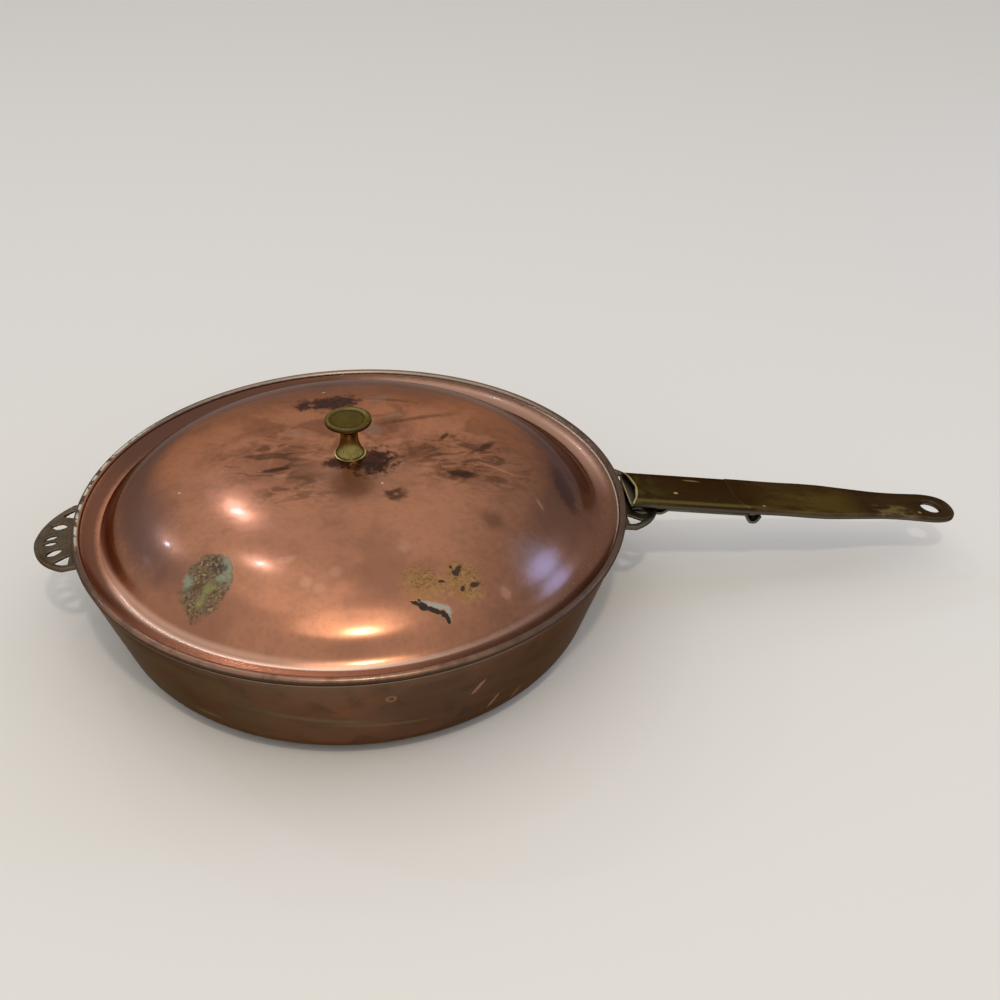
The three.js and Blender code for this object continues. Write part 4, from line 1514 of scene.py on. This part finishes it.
@dataclass
class Lid:
    """The lid: a domed sheet with a shallow trough, its edge rolled round an iron wire."""

    pan: Pan
    overhang: float = 1.27
    wall: float = 1.0
    wire: float = 0.9
    wire_gap: float = 0.25
    wire_sides: int = 16
    wire_steps: int = 192
    sweep: float = 300.0
    bead_steps: int = 40
    curl_slack: float = 0.02
    curl_reach: float = 0.3
    shift: float = 0.5
    trough_depth: float = 3.8
    trough_inset: float = 14.0
    trough_steps: int = 12
    dome_inset: float = 19.4
    dome_rise: float = 1.3
    crown_height: float = 31.4
    fullness: float = 3.2
    shoulder: float = 0.69
    foot_blend: float = 6.0
    foot_pull: float = 1.6
    foot_steps: int = 10
    crown_flat: float = 10.0
    crown_points: int = 20
    dome_steps: int = 36
    soft_rounds: int = 2
    seat_gap: float = 0.3
    hole: float = 2.7
    knob_seat: float = 6.0
    lean: Point = (-2.4, -1.6)
    lean_start: float = 40.0
    lean_rise: float = 60.0
    lean_end: float = 140.0
    lean_fall: float = 16.0
    steps: int = 216

    @property
    def radius(self) -> float:
        """The lid's outer radius."""
        return self.pan.top_radius + self.overhang

    @property
    def bead(self) -> float:
        """The radius of the rolled edge's section."""
        return self.wire + self.wire_gap + self.wall

    @property
    def bead_level(self) -> float:
        """The height of the rolled edge's middle."""
        return self.pan.height + self.seat_gap + self.bead

    @property
    def crown(self) -> float:
        """The height of the dome's top."""
        return self.bead_level + self.crown_height

    def top_line(self) -> list[Point]:
        """Draws the upper face from the knob's hole to the rolled edge.

        Returns:
            Radius and height of each point.
        """
        trough = self.bead_level - self.trough_depth
        foot, edge = trough + self.dome_rise, self.radius - self.dome_inset
        rise = self.crown - foot
        last = (1 - (self.foot_blend / rise) ** (1 / self.shoulder)) ** (1 / self.fullness)
        line = [(self.hole, self.crown), (self.knob_seat, self.crown)]
        for i in range(self.dome_steps + 1):
            share = math.sin(i / self.dome_steps * math.asin(last))
            fall = (1 - share**self.fullness) ** self.shoulder
            line.append((self.crown_flat + (edge - self.crown_flat) * share, foot + rise * fall))
        start, crease = self.radius - self.trough_inset, self.radius - 2 * self.bead
        line += curve(line[-1], (edge + self.foot_pull, foot), (start, trough), self.foot_steps)[1:]
        for share in (i / self.trough_steps for i in range(self.trough_steps + 1)):
            line.append((start + (crease - start) * share, trough + self.trough_depth * share**2))
        return line[: self.crown_points] + softened(line[self.crown_points :], self.soft_rounds)

    def section(self) -> list[Point]:
        """Draws the sheet in section with its rolled edge.

        Returns:
            Radius and height of each point, as a closed line.
        """
        top = self.top_line()
        under = []
        for i, (radius, height) in enumerate(top):
            (ax, ay), (bx, by) = top[max(i - 1, 0)], top[min(i + 1, len(top) - 1)]
            run, rise = bx - ax, by - ay
            length = math.hypot(run, rise)
            under.append((radius + rise / length * self.wall, height - run / length * self.wall))
        middle = (self.radius - self.bead, self.bead_level)
        outer = arc(middle, self.bead, 180, 180 - self.sweep, self.bead_steps)[1:]
        inner = arc(middle, self.bead - self.wall, 180 - self.sweep, 180, self.bead_steps)
        return top + outer + inner + under[::-1]

    def build(self, metal: Material, lining: Material, iron: Material) -> None:
        """Spins the sheet, leans its dome as hand work leaves it, and lays the wire in its edge.

        Args:
            metal: the finish of the outer face.
            lining: the finish of the inner face.
            iron: the finish of the wire.
        """
        shape = spun(self.section(), self.steps, ring=True)
        middle = self.radius - self.bead
        reach, start = self.bead + self.curl_slack, middle - self.bead - self.curl_reach
        for face in shape.faces:
            at = face.calc_center_median() / MM
            radius = math.hypot(at.x, at.y)
            curl = math.hypot(radius - middle, at.z - self.bead_level) < reach and radius > start
            face.material_index = 0 if curl or face.normal.z > 0 else 1
        for vert in shape.verts:
            radius = math.hypot(vert.co.x, vert.co.y) / MM
            rise = (radius - self.lean_start) / self.lean_rise
            fall = (self.lean_end - radius) / self.lean_fall
            vert.co += Vector((*self.lean, 0)) * eased(rise) * eased(fall) * MM
        place_piece("lid_sheet", moved(shape, self.shift), [metal, lining], Body.LID, "lid_shell", 50)
        wire = spun(circle((middle, self.bead_level), self.wire, self.wire_sides), self.wire_steps, ring=True)
        place_piece("lid_edge_wire", moved(wire, self.shift), [iron], Body.LID, "lid_rim_wire", 180)


@dataclass
class Knob:
    """The turned knob, its collar, its washer and the shank that holds them.

    The rim's two edges are drawn by how far each point lies in from the rim and down from the top, or up from
    the disc's underside. The shank's head is drawn by shares of its radius and of its height.
    """

    lid: Lid
    radius: float = 12.6
    height: float = 23.0
    neck: float = 4.8
    neck_height: float = 11.2
    neck_curve: float = 2.2
    neck_steps: int = 12
    throat: float = 2.0
    foot: float = 7.9
    foot_height: float = 0.8
    foot_edge: Point = (0.2, 0.3)
    disc: float = 3.2
    recess: float = 0.9
    recess_wall: float = 4.5
    upper_edge: tuple[Point, ...] = (
        (2.7, 0.765), (2.0, 0.15), (1.2, 0.0), (0.7, 0.05), (0.15, 0.5), (0.0, 1.1),
    )
    lower_edge: tuple[Point, ...] = ((0.0, 0.9), (0.3, 0.3), (1.0, 0.0))
    collar: float = 8.8
    collar_thickness: float = 0.9
    washer: float = 8.0
    washer_thickness: float = 1.2
    shank: float = 2.4
    bite: float = 9.0
    head: float = 4.4
    head_height: float = 1.8
    head_line: tuple[Point, ...] = ((0.0, 1.0), (0.6, 1.0), (0.9, 0.75), (1.0, 0.4), (1.0, 0.0))
    gap: float = 0.3
    ring_edge: float = 0.3
    knob_steps: int = 96
    ring_steps: int = 64
    shank_steps: int = 40

    def profile(self) -> list[Point]:
        """Draws the knob in section.

        Returns:
            Radius and height of each point.
        """
        base = self.lid.crown + self.collar_thickness
        top = self.lid.crown + self.height
        low = top - self.disc
        neck, rim = base + self.neck_height, self.radius
        line = [(0.0, top - self.recess), (rim - self.recess_wall, top - self.recess)]
        line += [(rim - inwards, top - down) for inwards, down in self.upper_edge]
        line += [(rim - inwards, low + up) for inwards, up in self.lower_edge]
        throat, flare = rim - self.throat - self.neck, self.foot - self.neck
        shares = [i / self.neck_steps for i in range(1, self.neck_steps + 1)]
        line += [(self.neck + throat * (1 - s) ** self.neck_curve, low + (neck - low) * s) for s in shares]
        end = base + self.foot_height - neck
        line += [(self.neck + flare * s**self.neck_curve, neck + end * s) for s in shares]
        line += [(self.foot, base + self.foot_edge[1]), (self.foot - self.foot_edge[0], base)]
        bore = self.shank + self.gap
        return line + [(bore, base), (bore, base + self.bite), (0.0, base + self.bite)]

    def ring(self, radius: float, low: float, high: float) -> Shape:
        """Turns a flat ring with softened edges.

        Args:
            radius: its outer radius.
            low: its lower height.
            high: its upper height.

        Returns:
            The ring.
        """
        hole, soft = self.shank + self.gap, (high - low) / 3
        cut = soft * self.ring_edge
        side = [(radius - soft, low), (radius - cut, low + cut), (radius, low + soft), (radius, high - soft)]
        line = [(hole, low), *side, (radius - cut, high - cut), (radius - soft, high), (hole, high)]
        return spun(line, self.ring_steps, ring=True)

    def build(self, brass: Material, copper: Material) -> None:
        """Turns the knob's four pieces.

        Args:
            brass: the finish of knob and collar.
            copper: the finish of washer and shank.
        """
        crown, under = self.lid.crown, self.lid.crown - self.lid.wall
        low, top = under - self.washer_thickness, crown + self.collar_thickness
        end = top + self.bite - self.gap
        shank = [(self.head * share, low - self.head_height * rise) for share, rise in self.head_line]
        shank += [(self.shank, low), (self.shank, end), (0.0, end)]
        pieces = (
            ("knob_turned", spun(self.profile(), self.knob_steps), brass, "knob"),
            ("knob_foot_ring", self.ring(self.collar, crown, top), brass, "knob_collar"),
            ("knob_under_washer", self.ring(self.washer, low, under), copper, "knob_washer"),
            ("knob_screw_shank", spun(shank, self.shank_steps), copper, "knob_shank"),
        )
        for name, shape, metal, node in pieces:
            place_piece(name, moved(shape, self.lid.shift), [metal], Body.LID, node, 35)


# ---------------------------------------------------------------------------------------------
# The handle


@dataclass
class Handle:
    """The slip-on handle: a flattened tube, a cast grip, a packing strip, a spring strap and two rivets.

    Each station is a distance along the handle and the grip's width there. A rivet's head is drawn by
    shares of its radius and of its height.
    """

    lug: Lug
    liner_start: float = 1.5
    liner_end: float = 62.0
    liner_width: float = 22.0
    liner_thickness: float = 2.6
    liner_corner: float = 2.75
    liner_edge: float = 0.25
    corner_steps: int = 6
    width: float = 32.0
    socket_height: float = 4.6
    socket_sides: int = 72
    socket_steps: int = 30
    side_power: float = 0.16
    face_power: float = 0.42
    face_blend: float = 0.6
    crown: float = 0.5
    sheet: float = 1.0
    length: float = 62.5
    mouth: float = 4.6
    run_out: float = 9.5
    run_power: float = 5.5
    seam_steps: int = 16
    end: float = 205.0
    thickness: float = 4.4
    end_thickness: float = 3.6
    thinning_start: float = 117.0
    bar_edge: float = 1.1
    tang: float = 22.0
    tang_end: float = 76.0
    tang_play: float = 0.6
    tang_edge: float = 0.5
    hole: float = 6.0
    hole_sides: int = 48
    hole_inset: float = 14.5
    stations: tuple[Point, ...] = (
        (72.0, 32.0), (92.0, 31.0), (117.0, 32.8), (139.5, 28.2), (162.0, 23.6), (187.0, 26.6),
    )
    side_rounds: int = 3
    tip_reach: float = 0.35
    tip_width: float = 0.62
    tip_steps: int = 24
    grit: float = 0.45
    smoothing: int = 4
    strap_width: float = 20.0
    strap_thickness: float = 1.6
    strap_bend: float = 1.0
    strap_edge: float = 0.25
    bend_steps: int = 5
    jaw_start: float = 2.0
    jaw_length: float = 18.5
    step_length: float = 3.5
    fold_start: float = 72.5
    fold_depth: float = 6.9
    fold_length: float = 7.0
    fold_lead: float = 0.6
    fold_shift: float = 0.4
    catch_inset: float = 0.6
    catch_out: float = 0.5
    rivets: Point = (29.0, 54.0)
    rivet: float = 2.0
    rivet_head: float = 3.2
    rivet_head_height: float = 0.8
    rivet_line: tuple[Point, ...] = ((0.0, 1.0), (0.6, 1.0), (0.9, 0.6), (1.0, 0.0))
    rivet_sink: float = 1.2
    rivet_flush: float = 3.0
    rivet_steps: int = 40
    gap: float = 0.3

    @property
    def low(self) -> float:
        """The height of the tube's lower face over the lug."""
        return self.liner_thickness + self.gap

    @property
    def high(self) -> float:
        """The height of the tube's upper face."""
        return self.low + self.socket_height

    def settle(self, shape: Shape) -> Shape:
        """Leans a shape made in the handle's frame down along the lug.

        Args:
            shape: the shape.

        Returns:
            The same shape, in place.
        """
        place = self.lug.place @ Matrix.Translation((0, 0, self.gap * MM))
        bmesh.ops.transform(shape, matrix=place, verts=shape.verts)
        return shape

    def seam(self, across: float) -> float:
        """Returns where the tube ends, which bends outwards at the near side."""
        return self.length + self.run_out * held((self.width / 2 - across) / self.width) ** self.run_power

    def build_socket(self, brass: Material) -> None:
        """Draws the tube out along the handle, with its lens-shaped mouth and its slanting end.

        Args:
            brass: its finish.
        """
        shape = bmesh.new()
        half, middle = self.width / 2, (self.low + self.high) / 2
        tall = (self.socket_height - self.crown) / 2
        ring = bmesh.ops.create_circle(shape, segments=self.socket_sides, radius=1.0)
        for vert in ring["verts"]:
            turn = math.atan2(vert.co.y, vert.co.x)
            c, s = math.cos(turn), math.sin(turn)
            across = half * math.copysign(abs(c) ** self.side_power, c)
            up = tall * math.copysign(abs(s) ** self.face_power, s)
            lift = self.crown * (1 - (across / half) ** 2) if up > 0 else 0.0
            vert.co = Vector((0, across, middle - self.crown / 2 + up + lift))
        edges = shape.edges[:]
        for _ in range(self.socket_steps):
            made = bmesh.ops.extrude_edge_only(shape, edges=edges)["geom"]
            edges = [item for item in made if isinstance(item, bmesh.types.BMEdge)]
            new = [item for item in made if isinstance(item, bmesh.types.BMVert)]
            edges = [edge for edge in edges if all(vert in new for vert in edge.verts)]
            bmesh.ops.translate(shape, verts=new, vec=(1, 0, 0))
        bmesh.ops.recalc_face_normals(shape, faces=shape.faces)
        for vert in shape.verts:
            share, across, up = vert.co.x / self.socket_steps, vert.co.y, vert.co.z
            upper = held((up - middle + self.face_blend) / (2 * self.face_blend))
            start = upper * self.mouth * (1 - (across / half) ** 2) - self.sheet / 2 * (1 - upper)
            vert.co = Vector((start + (self.seam(across) - start) * share, across, up)) * MM
        bmesh.ops.solidify(shape, geom=shape.faces[:], thickness=self.sheet * MM)
        bmesh.ops.recalc_face_normals(shape, faces=shape.faces)
        place_piece("handle_tube", self.settle(shape), [brass], Body.HANDLE, "handle_socket", 50)

    def grip_outline(self) -> list[Point]:
        """Draws the grip from above: straight, slight bulge, waist and rounded paddle.

        Returns:
            The outline's points.
        """
        side = [(x, width / 2) for x, width in self.stations]
        last, paddle = side[-1]
        rows = [-self.width / 2 + self.width * i / self.seam_steps for i in range(self.seam_steps + 1)]
        near = [(self.seam(across) + self.gap, across) for across in rows]
        pulls = ((self.end - paddle * self.tip_reach, paddle), (self.end, paddle * self.tip_width))
        ends, tip = ((last, paddle), *pulls, (self.end, 0.0)), []
        for t in (i / self.tip_steps for i in range(1, self.tip_steps)):
            weights = ((1 - t) ** 3, 3 * t * (1 - t) ** 2, 3 * t * t * (1 - t), t**3)
            tip.append(tuple(sum(w * at for w, at in zip(weights, place)) for place in zip(*ends)))
        upper = softened(side, self.side_rounds) + tip + [(self.end, 0.0)]
        return near + upper + [(x, -y) for x, y in reversed(upper[:-1])]

    def build_grip(self, brass: Material) -> None:
        """Casts the grip with its tang, its hanging hole and its thinner end.

        Args:
            brass: its finish.
        """
        top = self.high - self.crown / 2
        ring = circle((self.end - self.hole_inset, 0.0), self.hole, self.hole_sides)
        bar = plate(self.grip_outline(), [ring], top - self.thickness, top, self.bar_edge)
        inside = self.sheet + self.gap
        half, back = self.width / 2 - inside - self.tang_play, self.length - self.tang
        outline = [(back, -half), (self.tang_end, -half), (self.tang_end, half), (back, half)]
        tang = plate(outline, [], self.low + inside, self.high - self.crown - inside, self.tang_edge)
        grip = cast(joined([bar, tang]), self.grit, self.smoothing)
        for vert in grip.verts:
            place, height = vert.co.x / MM, vert.co.z / MM
            share = held((place - self.thinning_start) / (self.end - self.thinning_start))
            if share > 0:
                thick = self.thickness + (self.end_thickness - self.thickness) * share
                vert.co.z = (top - (top - height) * thick / self.thickness) * MM
        place_piece("handle_bar", self.settle(grip), [brass], Body.HANDLE, "handle_grip", 180)

    def build_liner(self, steel: Material) -> None:
        """Cuts the packing strip under the tube.

        Args:
            steel: its finish.
        """
        half, corner, steps = self.liner_width / 2, self.liner_corner, self.corner_steps
        x, y = self.liner_start, self.liner_end
        outline = [(y, -half), (y, half), *curve((x + corner, half), (x, half), (x, half - corner), steps)]
        outline += [*curve((x, corner - half), (x, -half), (x + corner, -half), steps), (x + corner, -half)]
        shape = plate(outline, [], 0, self.liner_thickness, self.liner_edge)
        place_piece("handle_packing", self.settle(shape), [steel], Body.HANDLE, "handle_liner", 40)

    def build_strap(self, steel: Material) -> None:
        """Bends the spring strap: jaw under the lug, step, flat run and folded catch.

        Args:
            steel: its finish.
        """
        t, top = self.strap_thickness, -self.gap
        depth = self.lug.border_rise + self.lug.plate + self.lug.border_depth
        jaw = -(depth + 2 * self.gap)
        step = self.jaw_start + self.jaw_length
        end = self.fold_start + self.fold_length
        fold, bottom = (self.fold_start + end) / 2 - self.fold_shift, t - self.fold_depth
        line = [(self.jaw_start, jaw), (step, jaw), (step + self.step_length, top)]
        line += [(self.fold_start - self.fold_lead, top), (fold, bottom)]
        line += [(end - t * self.catch_inset, bottom), (end + t * self.catch_out, top - t * self.catch_inset)]
        shape = bmesh.new()
        points = [shape.verts.new((x, -self.strap_width / 2, z)) for x, z in line]
        edges = [shape.edges.new(pair) for pair in zip(points, points[1:])]
        bend = {"offset": self.strap_bend, "segments": self.bend_steps, "affect": "VERTICES"}
        bmesh.ops.bevel(shape, geom=points[1:-1], **bend, profile=0.5, material=-1)
        made = bmesh.ops.extrude_edge_only(shape, edges=shape.edges[:])["geom"]
        new = [item for item in made if isinstance(item, bmesh.types.BMVert)]
        bmesh.ops.translate(shape, verts=new, vec=(0, self.strap_width, 0))
        bmesh.ops.recalc_face_normals(shape, faces=shape.faces)
        if sum(face.normal.z * face.calc_area() for face in shape.faces) < 0:
            bmesh.ops.reverse_faces(shape, faces=shape.faces)
        bmesh.ops.solidify(shape, geom=shape.faces[:], thickness=t)
        bmesh.ops.recalc_face_normals(shape, faces=shape.faces)
        bmesh.ops.scale(shape, verts=shape.verts, vec=(MM, MM, MM))
        piece = place_piece("handle_spring", self.settle(shape), [steel], Body.HANDLE, "handle_strap", 40)
        edge = piece.modifiers.new("worn_edges", "BEVEL")
        edge.width, edge.segments, edge.limit_method = self.strap_edge * MM, 2, "ANGLE"

    def build_rivets(self, brass: Material) -> None:
        """Turns the two rivets, flush on top and headed below.

        Args:
            brass: their finish.
        """
        low = -self.gap - self.strap_thickness - self.gap
        top = self.high - self.crown / 4
        head, rise = self.rivet_head, self.rivet_head_height
        profile = [(head * share, low - rise * depth) for share, depth in self.rivet_line]
        profile += [(self.rivet, low), (self.rivet, self.high - self.rivet_sink)]
        profile += [(self.rivet_flush, top), (0.0, top)]
        for place, name in zip(self.rivets, ("front", "rear")):
            pin = self.settle(moved(spun(profile, self.rivet_steps), place))
            place_piece(f"handle_{name}_pin", pin, [brass], Body.HANDLE, f"handle_rivet_{name}", 40)

    def build(self, brass: Material, steel: Material) -> None:
        """Builds every piece of the handle.

        Args:
            brass: the finish of tube, grip and rivets.
            steel: the finish of packing strip and strap.
        """
        self.build_socket(brass)
        self.build_grip(brass)
        self.build_liner(steel)
        self.build_strap(steel)
        self.build_rivets(brass)


# ---------------------------------------------------------------------------------------------
# The studio


@dataclass
class Studio:
    """A pale floor, soft lamps and the camera at the photograph's viewing angle.

    Each lamp has its name, the direction in which it hangs, its width, its power in watts and its colour.
    """

    lens: float = 48.64
    sensor: float = 36.0
    eye: Place = (-6.3, -631.8, 491.35)
    pitch: float = 33.90
    roll: float = 0.53
    turn: float = 8.08
    nearest: float = 10.0
    farthest: float = 50000.0
    floor_size: float = 16000.0
    floor_colour: str = "#e6e4e0"
    air_colour: str = "#f4f2ee"
    air_light: float = 0.72
    air_shown: float = 0.85
    aim: Place = (0.0, 0.0, 80.0)
    lamp_distance: float = 1600.0
    lamps: tuple[tuple[str, Place, float, float, str], ...] = (
        ("key", (-0.03, -0.47, 0.88), 1000, 2.9, "#fff1e0"),
        ("top", (-0.25, 0.05, 0.97), 900, 0.9, "#fff6ee"),
        ("front", (0.018, -0.563, 0.827), 80, 3.8, "#fff3e2"),
        ("left_far", (-0.243, 0.705, 0.667), 60, 0.50, "#d8e2ff"),
        ("left_near", (-0.633, 0.501, 0.591), 45, 0.70, "#dfe7ff"),
        ("top_left", (-0.304, 0.376, 0.876), 40, 0.52, "#dfe7ff"),
        ("left_low", (-0.795, 0.410, 0.447), 120, 0.10, "#b9c6ff"),
        ("window", (0.897, 0.116, 0.426), 520, 1.9, "#a9c0ff"),
    )

    def build_floor(self) -> None:
        """Lays the pale floor."""
        shape = bmesh.new()
        bmesh.ops.create_grid(shape, x_segments=1, y_segments=1, size=self.floor_size / 2 * MM)
        mesh = bpy.data.meshes.new("studio_floor")
        shape.to_mesh(mesh)
        shape.free()
        floor = bpy.data.objects.new("studio_floor", mesh)
        material = bpy.data.materials.new("studio_floor_pale")
        material.use_nodes = True
        tree = material.node_tree
        tree.nodes.clear()
        shader = add(tree, "ShaderNodeBsdfDiffuse", {"Color": linear(self.floor_colour)})
        add(tree, "ShaderNodeOutputMaterial", {"Surface": shader.outputs[0]})
        mesh.materials.append(material)
        bpy.context.scene.collection.objects.link(floor)

    def build_world(self) -> None:
        """Fills the room with even light, and shows a pale background to the eye and to metal."""
        world = bpy.data.worlds.new("studio_air")
        bpy.context.scene.world = world
        world.use_nodes = True
        tree = world.node_tree
        tree.nodes.clear()
        path = add(tree, "ShaderNodeLightPath")
        shown = path.outputs["Is Camera Ray"]
        for ray in ("Is Glossy Ray", "Is Transmission Ray"):
            either = {0: shown, 1: path.outputs[ray]}
            shown = add(tree, "ShaderNodeMath", either, operation="MAXIMUM").outputs[0]
        strength = add(tree, "ShaderNodeMix", {"Factor": shown, 2: self.air_light, 3: self.air_shown})
        looks = {"Color": linear(self.air_colour), "Strength": strength.outputs[0]}
        air = add(tree, "ShaderNodeBackground", looks)
        add(tree, "ShaderNodeOutputWorld", {"Surface": air.outputs[0]})

    def build_lamps(self) -> None:
        """Hangs the soft lamps where the photograph's highlights put them."""
        for name, towards, size, power, colour in self.lamps:
            light = bpy.data.lights.new(f"lamp_{name}", "AREA")
            light.shape = "DISK"
            light.size = size * MM
            light.energy = power
            light.color = linear(colour)[:3]
            lamp = bpy.data.objects.new(f"lamp_{name}", light)
            direction = Vector(towards).normalized()
            lamp.location = (Vector(self.aim) + direction * self.lamp_distance) * MM
            lamp.rotation_mode = "QUATERNION"
            lamp.rotation_quaternion = direction.to_track_quat("Z", "Y")
            bpy.context.scene.collection.objects.link(lamp)

    def build_camera(self) -> None:
        """Stands the camera where the photograph was taken from."""
        data = bpy.data.cameras.new("eye")
        data.lens = self.lens
        data.sensor_width = self.sensor
        data.clip_start, data.clip_end = self.nearest * MM, self.farthest * MM
        camera = bpy.data.objects.new("eye", data)
        p, r = math.radians(self.pitch), math.radians(self.roll)
        right = Vector((math.cos(r), math.sin(r) * math.sin(p), math.sin(r) * math.cos(p)))
        down = Vector((math.sin(r), -math.cos(r) * math.sin(p), -math.cos(r) * math.cos(p)))
        forward = Vector((0, math.cos(p), -math.sin(p)))
        basis = Matrix((right, -down, -forward)).transposed()
        whole = Matrix.Rotation(math.radians(-self.turn), 3, "Z") @ basis
        camera.matrix_world = Matrix.Translation(Vector(self.eye) * MM) @ whole.to_4x4()
        bpy.context.scene.collection.objects.link(camera)
        bpy.context.scene.camera = camera

    def build(self) -> None:
        """Sets the whole studio up."""
        bpy.context.scene.view_settings.view_transform = "Standard"
        self.build_floor()
        self.build_world()
        self.build_lamps()
        self.build_camera()


# ---------------------------------------------------------------------------------------------
# The whole skillet


def main() -> None:
    """Builds the skillet's pieces in order, then the studio."""
    logging.basicConfig(level=logging.INFO, format="%(message)s")
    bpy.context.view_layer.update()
    copper_lid, copper_pan, tin = LID_COPPER.build(), PAN_COPPER.build(), TIN_LINING.build()
    brass_lug, brass_knob, brass_handle = LUG_BRASS.build(), KNOB_BRASS.build(), HANDLE_BRASS.build()
    rivet, iron, steel = RIVET_COPPER.build(), RIM_IRON.build(), STRAP_STEEL.build()
    pan = Pan()
    pan.build(copper_pan, tin)
    right, left = Lug(pan, Side.RIGHT, "lug_right"), Lug(pan, Side.LEFT, "lug_left")
    for lug in (right, left):
        lug.build(brass_lug)
        LugRivets(lug).build(rivet)
    lid = Lid(pan)
    lid.build(copper_lid, tin, iron)
    Knob(lid).build(brass_knob, rivet)
    Handle(right).build(brass_handle, steel)
    Studio().build()


if __name__ == "__main__":
    main()
